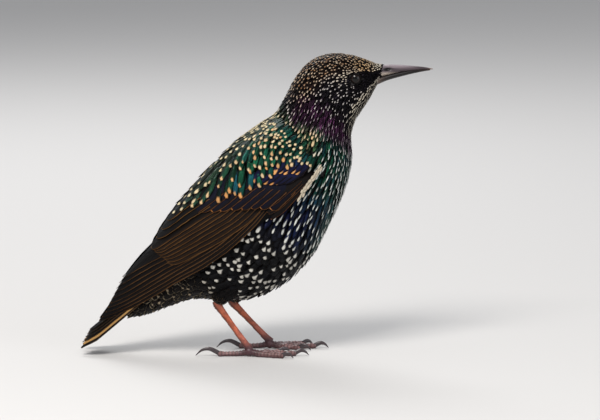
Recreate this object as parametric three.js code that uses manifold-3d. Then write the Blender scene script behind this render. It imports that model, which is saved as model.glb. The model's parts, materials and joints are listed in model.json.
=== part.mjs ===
// A life-size common starling in winter plumage, standing on both feet with its wings folded.
// Millimetres. X points to the bill, Y to the bird's left and Z up. The floor is Z = 0.

import * as THREE from "three";
import { mergeVertices } from "three/addons/utils/BufferGeometryUtils.js";
import Module from "manifold-3d";

const wasm = await Module();
wasm.setup();

// Clearances and thicknesses
const GAP = 0.3; // air left between neighbouring pieces
const VANE = 0.6; // thickness of a feather
const ROOT_DEPTH = 3.6; // how deep a wing feather's root is set
const TIDY = [0.02, 0.03, 0.04, 0.05, 0.06, 0.08, 0.1]; // slivers up to one of these sizes are closed up
const GRID = 1e4; // corners closer than one part of this in a millimetre count as one
const SHINGLE = 0.4; // how far a feather's free edge stands over its neighbour

// The flesh with its coat, from the bill to the tail: where each slice meets the line of the back
// and the line of the belly, seen from the side, and half its width
const BODY = [
  { back: [69.6, 142.0], belly: [68.0, 135.6], half: 2.9 },
  { back: [66.6, 143.0], belly: [66.2, 130.8], half: 5.0 },
  { back: [61.2, 145.0], belly: [63.0, 124.8], half: 7.8 },
  { back: [54.6, 147.0], belly: [59.4, 119.4], half: 9.7 },
  { back: [47.4, 147.9], belly: [56.6, 114.8], half: 11.2 },
  { back: [40.4, 146.9], belly: [55.0, 110.4], half: 12.2 },
  { back: [33.6, 143.4], belly: [54.4, 106.0], half: 13.2 },
  { back: [27.1, 136.0], belly: [54.8, 101.2], half: 14.8 },
  { back: [22.2, 126.8], belly: [54.9, 95.8], half: 17.3 },
  { back: [17.2, 118.6], belly: [54.0, 89.6], half: 20.6 },
  { back: [8.2, 111.8], belly: [51.8, 81.6], half: 23.6 },
  { back: [-4.0, 102.6], belly: [47.8, 71.8], half: 26.0 },
  { back: [-12.2, 93.6], belly: [42.4, 60.6], half: 27.2 },
  { back: [-19.6, 83.4], belly: [35.6, 48.4], half: 27.0 },
  { back: [-25.4, 73.0], belly: [23.6, 35.8], half: 25.0 },
  { back: [-30.4, 63.2], belly: [8.0, 27.6], half: 21.6 },
  { back: [-35.2, 54.6], belly: [-9.0, 26.6], half: 17.6 },
  { back: [-40.0, 46.6], belly: [-23.0, 26.8], half: 13.8 },
  { back: [-45.0, 38.6], belly: [-35.0, 23.0], half: 10.8 },
  { back: [-50.6, 30.4], belly: [-45.6, 19.0], half: 8.6 },
  { back: [-56.0, 22.4], belly: [-54.6, 17.4], half: 4.6 },
];
const BODY_RINGS = 46;
const BODY_SIDES = 26;
const NOSE_BULGE = 0.8; // how far the caps of the loft stand out
const RUMP_BULGE = 2.6;

// Cuts that part the body into head, neck and torso
const HEAD_CUT = { at: [37, 0, 124], normal: [0.62, 0, 0.785] };
const NECK_CUT = { at: [35, 0, 105.5], normal: [0.5, 0, 0.866] };

// The folded wing lies on its own run of slices, a little outside the body's
const WING = [
  { back: [17.6, 120.0], belly: [56.0, 89.0], half: 21.6 },
  { back: [8.0, 113.6], belly: [53.6, 80.6], half: 25.0 },
  { back: [-4.4, 104.4], belly: [49.6, 70.8], half: 27.9 },
  { back: [-13.0, 95.2], belly: [43.6, 59.8], half: 29.5 },
  { back: [-20.8, 85.0], belly: [34.8, 49.4], half: 29.6 },
  { back: [-30.0, 73.8], belly: [20.0, 38.6], half: 27.6 },
  { back: [-38.6, 63.0], belly: [2.0, 30.6], half: 23.2 },
  { back: [-46.0, 53.6], belly: [-16.0, 26.4], half: 18.6 },
  { back: [-53.0, 44.8], belly: [-31.0, 22.4], half: 13.8 },
  { back: [-60.2, 35.4], belly: [-45.6, 19.0], half: 9.6 },
  { back: [-66.8, 27.6], belly: [-57.5, 15.4], half: 6.4 },
  { back: [-72.5, 20.6], belly: [-67.0, 12.6], half: 4.2 },
];
// The wing's upper and lower edge on those slices, in degrees round from the back
const WING_UPPER = [72, 60, 43, 28, 16, 9, 6, 5, 5, 6, 9, 16];
const WING_LOWER = [88, 107, 108, 102, 96, 92, 90, 90, 91, 91, 90, 88];
const WING_FIRST = 0.7; // slice at which the wrist starts
const WING_LAST = 8.3; // slice at which the plate under the feathers ends
const PLATE_LIFT = -0.3; // the plate's face lies this much under the middle of the feathers
const WING_PLATE = 1.1; // plate's thickness where the wing leaves the body
const WING_DEEP = 6; // its thickness towards the body, before the body is cut away
const WING_STEPS = 11;
const WING_ROWS = 4;
const MIDLINE = 0.3; // the wings stay this far from the plane of symmetry

// Rows of wing feathers: count, first and last root and tip as [slice, degrees], half width,
// and how high the row lies over the plate. The first feather is the lowest one.
const FEATHER_ROWS = [
  {
    name: "primaries",
    count: 8,
    steps: 4,
    roots: [[2.6, 88], [3.2, 74]],
    tips: [[10.95, 92], [8.4, 21]],
    bend: -7,
    half: 4.6,
    lift: 0.0,
    point: 0.62,
  },
  {
    name: "secondaries",
    count: 5,
    steps: 4,
    roots: [[3.0, 84], [3.2, 58]],
    tips: [[6.8, 56], [6.9, 24]],
    bend: 0,
    half: 4.8,
    lift: 0.15,
    point: 0.8,
  },
  {
    name: "tertials",
    count: 3,
    steps: 4,
    roots: [[3.0, 50], [3.1, 34]],
    tips: [[6.5, 20], [5.6, 13]],
    bend: 0,
    half: 4.8,
    lift: 0.4,
    point: 0.8,
  },
  {
    name: "greater coverts",
    count: 7,
    steps: 3,
    roots: [[1.5, 98], [2.3, 57]],
    tips: [[3.2, 90], [4.75, 40]],
    bend: 0,
    half: 4.3,
    lift: 0.55,
    point: 0.8,
  },
  {
    name: "median coverts",
    count: 5,
    steps: 3,
    roots: [[1.1, 96], [1.7, 60]],
    tips: [[2.2, 90], [3.4, 48]],
    bend: 0,
    half: 4.2,
    lift: 0.95,
    point: 0.75,
  },
  {
    name: "alula",
    count: 2,
    steps: 3,
    roots: [[1.2, 106], [1.2, 101]],
    tips: [[3.2, 98], [3.0, 93]],
    bend: 0,
    half: 2.2,
    lift: 0.45,
    point: 0.6,
  },
];

// Tail: six feathers a side, from the middle pair outwards
const TAIL_ROOT = [-30, 0, 44.4];
const TAIL_TIP = [-75.4, 0, 9.8];
const TAIL_PAIRS = 6;
const TAIL_STEPS = 4;
const TAIL_HALF = 4.3; // half width of one feather
const TAIL_SPREAD = 1.4; // each pair's tips lie this much further out
const TAIL_FALL = 0.75; // and this much lower
const TAIL_FORK = 1; // and reach this much further back
const TAIL_POINT = 0.92; // share of its length at which a tail feather starts to round off
const TAIL_CORE = { from: 0, to: 0.5, half: 6.6, thick: 3.6 };

// Bill: slices from its root inside the face to its tip
const BILL_UPPER = [
  { back: [60.0, 140.6], belly: [61.0, 134.6], half: 4.0 },
  { back: [66.0, 141.7], belly: [66.2, 135.6], half: 3.8 },
  { back: [71.5, 142.3], belly: [71.7, 137.0], half: 3.1 },
  { back: [77.5, 142.2], belly: [77.7, 138.3], half: 2.5 },
  { back: [84.0, 141.7], belly: [84.1, 139.3], half: 1.9 },
  { back: [90.0, 141.1], belly: [90.0, 139.9], half: 1.15 },
  { back: [94.0, 140.3], belly: [93.9, 139.9], half: 0.35 },
];
// The lower half's back lies inside the upper half, which is cut away from it
const BILL_LOWER = [
  { back: [60.0, 135.2], belly: [60.2, 130.6], half: 3.8 },
  { back: [66.2, 136.2], belly: [66.6, 132.3], half: 3.5 },
  { back: [71.7, 137.6], belly: [72.0, 134.5], half: 2.8 },
  { back: [77.7, 138.9], belly: [77.9, 136.2], half: 2.2 },
  { back: [84.1, 139.9], belly: [84.2, 137.8], half: 1.6 },
  { back: [90.0, 140.4], belly: [90.0, 139.0], half: 0.9 },
  { back: [92.6, 140.3], belly: [92.6, 139.4], half: 0.35 },
];
const BILL_RINGS = 12;
const BILL_SIDES = 12;
const NOSTRIL = { at: [72.6, 3.0, 140.0], radii: [1.7, 1.1, 0.6], turn: -0.1 };

// Eye
const EYE_AT = [56.4, 7.3, 136.3];
const EYE_RADIUS = 3.1;
const LID_RADIUS = 2.55;
const LID_THICK = 0.5;
const LID_OUT = 2.35; // the lid's distance from the middle of the eye

// Legs: where the right and left ankle and toe root are
const LEGS = {
  right: { side: -1, ankle: [-11.6, 12, 26.4], toes: [4.6, 12, 3.6] },
  left: { side: 1, ankle: [-4.6, 12, 23.6], toes: [14.4, 12, 3.6] },
};
const HIP = { right: [3, 9, 47], left: [9, 9, 45] };
const THIGH_RADII = [13, 11, 7.5, 4.3, 2.7];
const TARSUS_RADIUS = 1.55;
const ANKLE_RADIUS = 2.35;
const SCUTES = 7;
const SCUTE_STEP = 0.16;
const FOOT_TOP = 5.6; // height at which the shin is parted from the foot
// Each toe: its heading in degrees from straight ahead, its length, its joints and its claw
const TOES = [
  { name: "middle", heading: 2, length: 22.5, joints: 3, claw: 6.4 },
  { name: "inner", heading: 22, length: 16.0, joints: 2, claw: 5.6 },
  { name: "outer", heading: -20, length: 17.5, joints: 4, claw: 5.2 },
  { name: "hind", heading: 180, length: 15.0, joints: 1, claw: 11.0 },
];
const TOE_RADIUS = 1.35;
const TOE_HEIGHT = 0.95; // middle of a toe over the floor, so that a flat is cut under it
const PAD = 0.28; // swelling under each joint
const CLAW_RADIUS = 0.92;

// How much one wing feather differs from the next: in place, in degrees round and in height
const SEED = 3;
const VARY = { place: 0.05, degrees: 0.8, lift: 0.04 };

const COLOURS = {
  head: ["#241d26", 0.5],
  neck: ["#2c2033", 0.45],
  torso: ["#16201f", 0.45],
  wing: ["#2b211b", 0.5],
  tail: ["#1f1a18", 0.5],
  bill: ["#4a454b", 0.35],
  eye: ["#0d0807", 0.05],
  leg: ["#a35a44", 0.5],
  claw: ["#2e2526", 0.35],
};

// Numbers from -1 to 1 that are the same each time
function draws(seed) {
  let state = seed;
  return () => {
    state = (Math.imul(state, 1664525) + 1013904223) >>> 0;
    return state / 2 ** 31 - 1;
  };
}

// Meshes from rings of points

const vector = (point) => new THREE.Vector3(...point);
const radians = THREE.MathUtils.degToRad;
const mix = THREE.MathUtils.lerp;

function signedVolume(points, faces) {
  let sum = 0;
  for (const [a, b, c] of faces) {
    sum += points[a].dot(new THREE.Vector3().crossVectors(points[b], points[c]));
  }
  return sum / 6;
}

// A closed geometry with its faces pointing out, whichever way round they were listed
function closedGeometry(points, faces) {
  const turned = signedVolume(points, faces) < 0;
  const index = faces.flatMap(([a, b, c]) => (turned ? [a, c, b] : [a, b, c]));
  const geometry = new THREE.BufferGeometry();
  geometry.setAttribute("position", new THREE.Float32BufferAttribute(points.flatMap((p) => p.toArray()), 3));
  geometry.setIndex(index);
  return geometry;
}

// Rings of equal count, joined in a row and closed by a point at each end
function ringsGeometry(rings, firstPole, lastPole) {
  const sides = rings[0].length;
  const points = [...rings.flat(), firstPole, lastPole];
  const first = points.length - 2;
  const last = points.length - 1;
  const faces = [];
  for (let i = 0; i < rings.length - 1; i++) {
    for (let j = 0; j < sides; j++) {
      const k = (j + 1) % sides;
      const [a, b, c, d] = [i * sides + j, i * sides + k, (i + 1) * sides + j, (i + 1) * sides + k];
      faces.push([a, b, c], [b, d, c]);
    }
  }
  const end = (rings.length - 1) * sides;
  for (let j = 0; j < sides; j++) {
    const k = (j + 1) % sides;
    faces.push([j, first, k], [end + j, end + k, last]);
  }
  return closedGeometry(points, faces);
}

const centreOf = (ring) =>
  ring.reduce((sum, p) => sum.add(p), new THREE.Vector3()).divideScalar(ring.length);

// Smooth values between slices. The place runs from 0 to the last slice's number.
function sliceCurves(slices) {
  const curve = (pick) => new THREE.CatmullRomCurve3(slices.map(pick), false, "catmullrom", 0.5);
  const back = curve((s) => new THREE.Vector3(s.back[0], 0, s.back[1]));
  const belly = curve((s) => new THREE.Vector3(s.belly[0], 0, s.belly[1]));
  const half = curve((s) => new THREE.Vector3(s.half, 0, 0));
  const last = slices.length - 1;
  return (place, grow = 0) => {
    const t = THREE.MathUtils.clamp(place / last, 0, 1);
    const top = back.getPoint(t);
    const low = belly.getPoint(t);
    const along = new THREE.Vector3().subVectors(top, low);
    const reach = along.length() / 2 + grow;
    return {
      middle: new THREE.Vector3().addVectors(top, low).divideScalar(2),
      up: along.normalize().multiplyScalar(reach),
      out: half.getPoint(t).x + grow,
    };
  };
}

// The point of a slice at an angle round from the back, on the left for side 1
function slicePoint(slice, degrees, side = 1) {
  const angle = radians(degrees);
  return slice.middle
    .clone()
    .addScaledVector(slice.up, Math.cos(angle))
    .add(new THREE.Vector3(0, side * slice.out * Math.sin(angle), 0));
}

function loft(slices, rings, sides, { grow = 0, firstBulge = 0.3, lastBulge = 0.3 } = {}) {
  const at = sliceCurves(slices);
  const last = slices.length - 1;
  const made = [];
  for (let i = 0; i <= rings; i++) {
    const slice = at((last * i) / rings, grow);
    made.push(Array.from({ length: sides }, (_, j) => slicePoint(slice, (360 * j) / sides)));
  }
  const pole = (ring, next, bulge) => {
    const middle = centreOf(ring);
    return middle.addScaledVector(middle.clone().sub(centreOf(next)).normalize(), bulge + grow);
  };
  const firstPole = pole(made[0], made[1], firstBulge);
  const lastPole = pole(made.at(-1), made.at(-2), lastBulge);
  return ringsGeometry(made, firstPole, lastPole);
}

// A round bar through points, with a radius at each, on its own frame that never twists
function bar(points, radii, sides, steps, { squash = 1, shape = () => 1, tipBulge = 0 } = {}) {
  const path = new THREE.CatmullRomCurve3(points.map(vector), false, "catmullrom", 0.5);
  const size = new THREE.CatmullRomCurve3(radii.map((r) => new THREE.Vector3(r, 0, 0)), false, "catmullrom", 0.5);
  const rings = [];
  for (let i = 0; i <= steps; i++) {
    const t = i / steps;
    const ahead = path.getTangent(t);
    const across = new THREE.Vector3(-ahead.y, ahead.x, 0);
    if (across.length() < 1e-3) across.set(0, 1, 0);
    across.normalize();
    const over = new THREE.Vector3().crossVectors(ahead, across);
    const radius = size.getPoint(t).x;
    rings.push(
      Array.from({ length: sides }, (_, j) => {
        const angle = (2 * Math.PI * j) / sides;
        const reach = radius * shape(t, angle);
        return path
          .getPoint(t)
          .addScaledVector(across, reach * squash * Math.cos(angle))
          .addScaledVector(over, reach * Math.sin(angle));
      }),
    );
  }
  const tip = centreOf(rings.at(-1)).addScaledVector(path.getTangent(1), tipBulge);
  return ringsGeometry(rings, centreOf(rings[0]), tip);
}

// Joining and cutting

function solid(geometry) {
  const bare = new THREE.BufferGeometry();
  bare.setAttribute("position", geometry.getAttribute("position"));
  bare.setIndex(geometry.getIndex());
  const merged = mergeVertices(bare, 1e-4);
  return new wasm.Manifold(
    new wasm.Mesh({
      numProp: 3,
      vertProperties: merged.attributes.position.array,
      triVerts: new Uint32Array(merged.index.array),
    }),
  );
}

const join = (pieces) => pieces.reduce((sum, piece) => sum.add(piece));

// The largest closed surface alone, so no scrap of a cut is kept
function largest(made) {
  const bodies = made.decompose().sort((a, b) => b.volume() - a.volume());
  return bodies[0];
}

// Whether each edge is shared by just two faces once corners that all but touch are taken as one
function edgesPair(made) {
  const mesh = made.getMesh();
  const places = new Map();
  const corner = (i) => {
    const key = [0, 1, 2].map((k) => Math.round(mesh.vertProperties[i * mesh.numProp + k] * GRID)).join();
    if (!places.has(key)) places.set(key, places.size);
    return places.get(key);
  };
  const shared = new Map();
  for (let i = 0; i < mesh.triVerts.length; i += 3) {
    const [a, b, c] = [...mesh.triVerts.subarray(i, i + 3)].map(corner);
    if (a === b || b === c || a === c) continue;
    for (const [p, q] of [[a, b], [b, c], [c, a]]) {
      const key = Math.min(p, q) + ":" + Math.max(p, q);
      shared.set(key, (shared.get(key) ?? 0) + 1);
    }
  }
  return [...shared.values()].every((count) => count === 2);
}

// The joined solid without the slivers that its joins left
function tidy(made) {
  const tries = TIDY.map((size) => () => largest(made.asOriginal().simplify(size)));
  for (const attempt of tries) {
    const cleaned = attempt();
    if (edgesPair(cleaned)) return cleaned;
  }
  throw new Error("a joined piece still pinches itself: move one of its feathers a little");
}

function cutAbove(made, { at, normal }, shift = 0) {
  return made.trimByPlane(normal, vector(at).dot(vector(normal)) + shift);
}

function cutBelow(made, { at, normal }, shift = 0) {
  const turned = normal.map((x) => -x);
  return made.trimByPlane(turned, vector(at).dot(vector(turned)) + shift);
}

function meshOf(name, made, colour) {
  const mesh = tidy(made).getMesh();
  const position = new Float32Array(mesh.numVert * 3);
  for (let i = 0; i < mesh.numVert; i++) {
    position.set(mesh.vertProperties.subarray(i * mesh.numProp, i * mesh.numProp + 3), i * 3);
  }
  const geometry = new THREE.BufferGeometry();
  geometry.setAttribute("position", new THREE.BufferAttribute(position, 3));
  geometry.setIndex(new THREE.BufferAttribute(new Uint32Array(mesh.triVerts), 1));
  const [shade, roughness] = COLOURS[colour];
  const material = new THREE.MeshStandardMaterial({ color: shade, roughness, metalness: 0 });
  const made3d = new THREE.Mesh(geometry, material);
  made3d.name = name;
  return made3d;
}

// Body

const bodyLoft = (grow = 0) =>
  solid(loft(BODY, BODY_RINGS, BODY_SIDES, { grow, firstBulge: NOSE_BULGE, lastBulge: RUMP_BULGE }));

// A feather: a thin strip along a path that lies on a surface. Its middle, its side and the way
// out of the surface come from place(t), the same diagonal splits both faces, and it ends in a point.
function feather(place, half, point, steps, thick = VANE) {
  const rings = [];
  for (let i = 0; i <= steps; i++) {
    const t = i / steps;
    const { middle, across, out, tilt } = place(t);
    const swell = Math.min(1, 0.45 + 1.9 * t);
    const taper = t < point ? 1 : Math.sqrt(Math.max(0.03, 1 - ((t - point) / (1 - point)) ** 2));
    const width = half * swell * taper;
    const lie = across.clone().addScaledVector(out, tilt / half).normalize();
    const face = (sign, layer) =>
      middle
        .clone()
        .addScaledVector(lie, sign * width)
        .addScaledVector(out, layer * thick);
    rings.push([face(-1, 0.5), face(1, 0.5), face(1, -0.5), face(-1, -0.5)]);
  }
  return ringsGeometry(rings, centreOf(rings[0]), centreOf(rings.at(-1)));
}

// Wing

function between(values, place) {
  const i = Math.min(Math.floor(place), values.length - 2);
  return mix(values[i], values[i + 1], THREE.MathUtils.smoothstep(place - i, 0, 1));
}

const wingSlices = sliceCurves(WING);

// A point on the wing's surface, raised by lift, with the way out of the surface there
function wingPoint(place, degrees, lift, side) {
  const on = (p, d) => slicePoint(wingSlices(p), d, side);
  const step = 0.05;
  const here = on(place, degrees);
  const alongPlace = on(place + step, degrees).sub(on(place - step, degrees));
  const round = on(place, degrees + 1).sub(on(place, degrees - 1));
  const out = new THREE.Vector3().crossVectors(round, alongPlace).multiplyScalar(-side).normalize();
  if (out.y * side < 0 && Math.abs(out.y) > 0.3) out.negate();
  return { point: here.addScaledVector(out, lift), out };
}

function wingPlate(side) {
  const outer = [];
  const inner = [];
  for (let i = 0; i <= WING_STEPS; i++) {
    const t = i / WING_STEPS;
    const place = mix(WING_FIRST, WING_LAST, t);
    const free = THREE.MathUtils.smoothstep(place, 4.5, 7.5);
    const rowOuter = [];
    const rowInner = [];
    for (let j = 0; j <= WING_ROWS; j++) {
      const across = j / WING_ROWS;
      const degrees = mix(between(WING_UPPER, place), between(WING_LOWER, place), across);
      const edge = Math.sin(Math.PI * across) ** 0.35;
      const ends = Math.min(1, 6 * t + 0.15, 3 * (1 - t) + 0.3);
      const lift = mix(-1.4, PLATE_LIFT, edge * ends);
      const deep = mix(WING_DEEP, WING_PLATE, free) * Math.max(0.3, edge);
      const { point, out } = wingPoint(place, degrees, lift, side);
      rowOuter.push(point);
      rowInner.push(point.clone().addScaledVector(out, -deep));
    }
    outer.push(rowOuter);
    inner.push(rowInner);
  }
  // Each slice of the plate is one ring: out along the outer face and back along the inner one
  const rings = outer.map((row, i) => [...row, ...inner[i].reverse()]);
  return ringsGeometry(rings, centreOf(rings[0]), centreOf(rings.at(-1)));
}

function rowFeathers(row, side, draw) {
  const made = [];
  for (let i = 0; i < row.count; i++) {
    const share = row.count > 1 ? i / (row.count - 1) : 0;
    const root = row.roots[0].map((value, k) => mix(value, row.roots[1][k], share));
    const tip = row.tips[0].map((value, k) => mix(value, row.tips[1][k], share));
    tip[0] += VARY.place * draw();
    tip[1] += VARY.degrees * draw();
    const lifted = row.lift + VARY.lift * draw();
    const place = (t) => {
      const slice = mix(root[0], tip[0], t);
      const degrees = mix(root[1], tip[1], t) + row.bend * (1 - share) * Math.sin(Math.PI * t);
      const sunk = -ROOT_DEPTH * (1 - t) ** 2.5;
      const { point, out } = wingPoint(slice, degrees, lifted + sunk, side);
      const ahead = wingPoint(mix(root[0], tip[0], t + 0.02), mix(root[1], tip[1], t + 0.02), 0, side).point;
      const behind = wingPoint(mix(root[0], tip[0], t - 0.02), mix(root[1], tip[1], t - 0.02), 0, side).point;
      const across = new THREE.Vector3().crossVectors(ahead.sub(behind), out).multiplyScalar(side).normalize();
      return { middle: point, across, out, tilt: SHINGLE };
    };
    made.push(solid(feather(place, row.half, row.point, row.steps)));
  }
  return made;
}

// The left wing, with the body and the tail cut away under it
function leftWing(bodyGrown, tailGrown) {
  const draw = draws(SEED);
  const pieces = [solid(wingPlate(1)), ...FEATHER_ROWS.flatMap((row) => rowFeathers(row, 1, draw))];
  const whole = join(pieces).subtract(bodyGrown).subtract(tailGrown);
  return whole.trimByPlane([0, 1, 0], MIDLINE / 2);
}

// The same mesh on the other side of the bird
function mirrored(name, mesh) {
  const geometry = mesh.geometry.clone().scale(1, -1, 1);
  const index = geometry.getIndex().array;
  for (let i = 0; i < index.length; i += 3) {
    [index[i + 1], index[i + 2]] = [index[i + 2], index[i + 1]];
  }
  const twin = new THREE.Mesh(geometry, mesh.material);
  twin.name = name;
  return twin;
}

// Tail

function tailFeathers(grow = 0) {
  const root = vector(TAIL_ROOT);
  const tip = vector(TAIL_TIP);
  const ahead = tip.clone().sub(root).normalize();
  const over = new THREE.Vector3(-ahead.z, 0, ahead.x).multiplyScalar(-1);
  if (over.z < 0) over.negate();
  const pieces = [];
  for (let i = 0; i < TAIL_PAIRS; i++) {
    for (const side of [-1, 1]) {
      const place = (t) => {
        const out = side * mix(1.0 + 0.5 * i, 1.6 + TAIL_SPREAD * i, t);
        const fall = mix(0.2, TAIL_FALL, t) * i;
        const middle = root
          .clone()
          .lerp(tip.clone().addScaledVector(ahead, TAIL_FORK * i), t)
          .addScaledVector(over, -fall + (side > 0 ? 0.05 : 0))
          .add(new THREE.Vector3(0, out, 0));
        return { middle, across: new THREE.Vector3(0, side, 0), out: over, tilt: -0.55 };
      };
      pieces.push(solid(feather(place, TAIL_HALF + grow, TAIL_POINT, TAIL_STEPS, VANE + 2 * grow)));
    }
  }
  const core = [];
  for (let i = 0; i <= 4; i++) {
    const t = mix(TAIL_CORE.from, TAIL_CORE.to, i / 4);
    const middle = root.clone().lerp(tip, t).addScaledVector(over, -1.0);
    const thin = mix(1, 0.15, (i / 4) ** 2);
    core.push(
      Array.from({ length: 12 }, (_, j) => {
        const angle = (2 * Math.PI * j) / 12;
        return middle
          .clone()
          .add(new THREE.Vector3(0, TAIL_CORE.half * Math.cos(angle), 0))
          .addScaledVector(over, (TAIL_CORE.thick / 2 + grow) * thin * Math.sin(angle));
      }),
    );
  }
  pieces.push(solid(ringsGeometry(core, centreOf(core[0]), centreOf(core.at(-1)))));
  return join(pieces);
}

// Head with its eye sockets and lids

const eyePlace = (side) => new THREE.Vector3(EYE_AT[0], side * EYE_AT[1], EYE_AT[2]);

function ball(radius, place, detail = [14, 10]) {
  const geometry = new THREE.SphereGeometry(radius, ...detail);
  geometry.deleteAttribute("normal");
  geometry.deleteAttribute("uv");
  return solid(geometry.translate(place.x, place.y, place.z));
}

function eyelid(side) {
  const ring = new THREE.TorusGeometry(LID_RADIUS, LID_THICK, 6, 16);
  ring.deleteAttribute("normal");
  ring.deleteAttribute("uv");
  ring.scale(1.08, 0.94, 1).rotateX(Math.PI / 2);
  const place = eyePlace(side);
  return solid(ring.translate(place.x, place.y + side * LID_OUT, place.z));
}

function head(whole, billGrown) {
  let made = cutAbove(whole, HEAD_CUT, GAP / 2);
  for (const side of [-1, 1]) {
    made = made.add(eyelid(side)).subtract(ball(EYE_RADIUS + GAP, eyePlace(side)));
  }
  return made.subtract(billGrown);
}

// Bill. The two halves stay a gap apart, which is the line of the mouth.

const billLoft = (slices, grow = 0) =>
  solid(loft(slices, BILL_RINGS, BILL_SIDES, { grow, firstBulge: 0.2, lastBulge: 0.5 }));

function nostril(side) {
  const geometry = new THREE.SphereGeometry(1, 12, 8);
  geometry.deleteAttribute("normal");
  geometry.deleteAttribute("uv");
  geometry.scale(...NOSTRIL.radii).rotateY(NOSTRIL.turn);
  const [x, y, z] = NOSTRIL.at;
  return solid(geometry.translate(x, side * y, z));
}

// Legs

function leg({ side, ankle, toes }) {
  const mirror = ([x, y, z]) => [x, side * y, z];
  const start = mirror(ankle);
  const end = mirror(toes);
  const lean = (t) => start.map((value, k) => mix(value, end[k], t));
  const scute = (t, angle) => {
    const front = Math.max(0, -Math.sin(angle));
    return 1 + front * SCUTE_STEP * (1 - ((t * SCUTES) % 1)) * (t > 0.1 && t < 0.95 ? 1 : 0);
  };
  const shin = bar(
    [lean(-0.04), lean(0.05), lean(0.16), lean(0.5), lean(0.86), lean(1.02)],
    [1.7, ANKLE_RADIUS, 1.85, TARSUS_RADIUS, 1.7, 2.1],
    9,
    SCUTES * 2,
    { squash: 0.82, shape: scute },
  );
  const pieces = [solid(shin), ball(2.35, vector([end[0], end[1], 2.1]), [12, 8])];
  const claws = [];
  for (const toe of TOES) {
    const heading = radians(toe.heading) * side * -1;
    const ahead = [Math.cos(heading), Math.sin(heading), 0];
    const along = (distance, height) => [
      end[0] + ahead[0] * distance,
      end[1] + ahead[1] * distance,
      height,
    ];
    const pads = (t) => 1 + PAD * Math.max(0, Math.cos(2 * Math.PI * t * (toe.joints + 0.5))) * (t > 0.12 ? 1 : 0);
    const shape = bar(
      [along(0, 2.0), along(toe.length * 0.3, TOE_HEIGHT + 0.25), along(toe.length * 0.7, TOE_HEIGHT), along(toe.length, TOE_HEIGHT)],
      [1.9, TOE_RADIUS, TOE_RADIUS * 0.95, TOE_RADIUS * 0.85],
      7,
      10,
      { squash: 1, shape: pads },
    );
    pieces.push(solid(shape));
    const rise = toe.claw * 0.2;
    const from = toe.length + GAP;
    const nail = bar(
      [
        along(from, TOE_HEIGHT + 0.35),
        along(from + toe.claw * 0.35, TOE_HEIGHT + 0.35 + rise),
        along(from + toe.claw * 0.72, TOE_HEIGHT + rise * 0.8),
        along(from + toe.claw, 0.42),
      ],
      [CLAW_RADIUS, CLAW_RADIUS * 0.85, CLAW_RADIUS * 0.55, 0.2],
      6,
      6,
      { squash: 0.72, tipBulge: 0.15 },
    );
    claws.push([toe.name, solid(nail)]);
  }
  const whole = join(pieces).trimByPlane([0, 0, 1], 0);
  const parting = { at: [end[0], end[1], FOOT_TOP], normal: [0, 0, 1] };
  return {
    tarsus: cutAbove(whole, parting, GAP / 2),
    foot: cutBelow(whole, parting, GAP / 2),
    claws,
  };
}

function thigh(name, { side, ankle }, bodyGrown, shin) {
  const [hx, hy, hz] = HIP[name];
  const [ax, ay, az] = ankle;
  const down = (t) => [mix(hx, ax, t), side * mix(hy, ay, t), mix(hz, az, t)];
  const shape = bar([down(0), down(0.35), down(0.62), down(0.86), down(0.97)], THIGH_RADII, 12, 8, { squash: 0.8 });
  return solid(shape).subtract(bodyGrown).subtract(shin);
}

// Assembly

const bird = new THREE.Group();
const whole = bodyLoft();
const bodyGrown = bodyLoft(GAP + 0.1);
const upperGrown = billLoft(BILL_UPPER, GAP);
const lowerGrown = billLoft(BILL_LOWER, GAP);

bird.add(meshOf("head", head(whole, upperGrown.add(lowerGrown)), "head"));
bird.add(meshOf("neck", cutAbove(cutBelow(whole, HEAD_CUT, GAP / 2), NECK_CUT, GAP / 2), "neck"));
bird.add(meshOf("torso", cutBelow(whole, NECK_CUT, GAP / 2), "torso"));
bird.add(meshOf("tail", tailFeathers().subtract(bodyGrown), "tail"));

const upperBill = [-1, 1].reduce((made, side) => made.subtract(nostril(side)), billLoft(BILL_UPPER));
bird.add(meshOf("bill_upper", upperBill, "bill"));
bird.add(meshOf("bill_lower", billLoft(BILL_LOWER).subtract(upperGrown), "bill"));

const left = meshOf("wing_left", leftWing(bodyGrown, tailFeathers(GAP + 0.1)), "wing");
bird.add(left, mirrored("wing_right", left));

for (const [name, place] of Object.entries(LEGS)) {
  const { side } = place;
  bird.add(meshOf(`eye_${name}`, ball(EYE_RADIUS, eyePlace(side)), "eye"));
  const { tarsus, foot, claws } = leg(place);
  bird.add(meshOf(`tarsus_${name}`, tarsus, "leg"));
  bird.add(meshOf(`foot_${name}`, foot, "leg"));
  for (const [toe, claw] of claws) {
    bird.add(meshOf(`claw_${name}_${toe}`, claw, "claw"));
  }
  const shinGrown = solid(
    bar(
      [-0.2, 0, 0.3].map((t) => place.ankle.map((value, k) => mix(value, place.toes[k], t) * (k === 1 ? side : 1))),
      [ANKLE_RADIUS + GAP + 0.2, ANKLE_RADIUS + GAP + 0.3, ANKLE_RADIUS + GAP],
      12,
      6,
    ),
  );
  bird.add(meshOf(`thigh_${name}`, thigh(name, place, bodyGrown, shinGrown), "torso"));
}

// The origin is on the floor under the middle of the bird
const extent = new THREE.Box3().setFromObject(bird);
const middle = extent.getCenter(new THREE.Vector3());
bird.position.set(-middle.x, -middle.y, -extent.min.z);

export default bird;
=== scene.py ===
# %% [markdown]
# A life-size starling in winter plumage
#
# The solids give this bird its size and its stance. Here it gets its looks: a skin under a coat of
# some thousands of small feathers, folded wings and a tail built feather by feather, a horn bill,
# wet eyes and scaled legs. Every feather is a thin closed piece of mesh, because hair and instances
# would be lost when the model is exported.

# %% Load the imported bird
import json
import math
from functools import partial
from types import SimpleNamespace

import bpy
import numpy as np
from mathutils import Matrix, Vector
from mathutils.kdtree import KDTree

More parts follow.
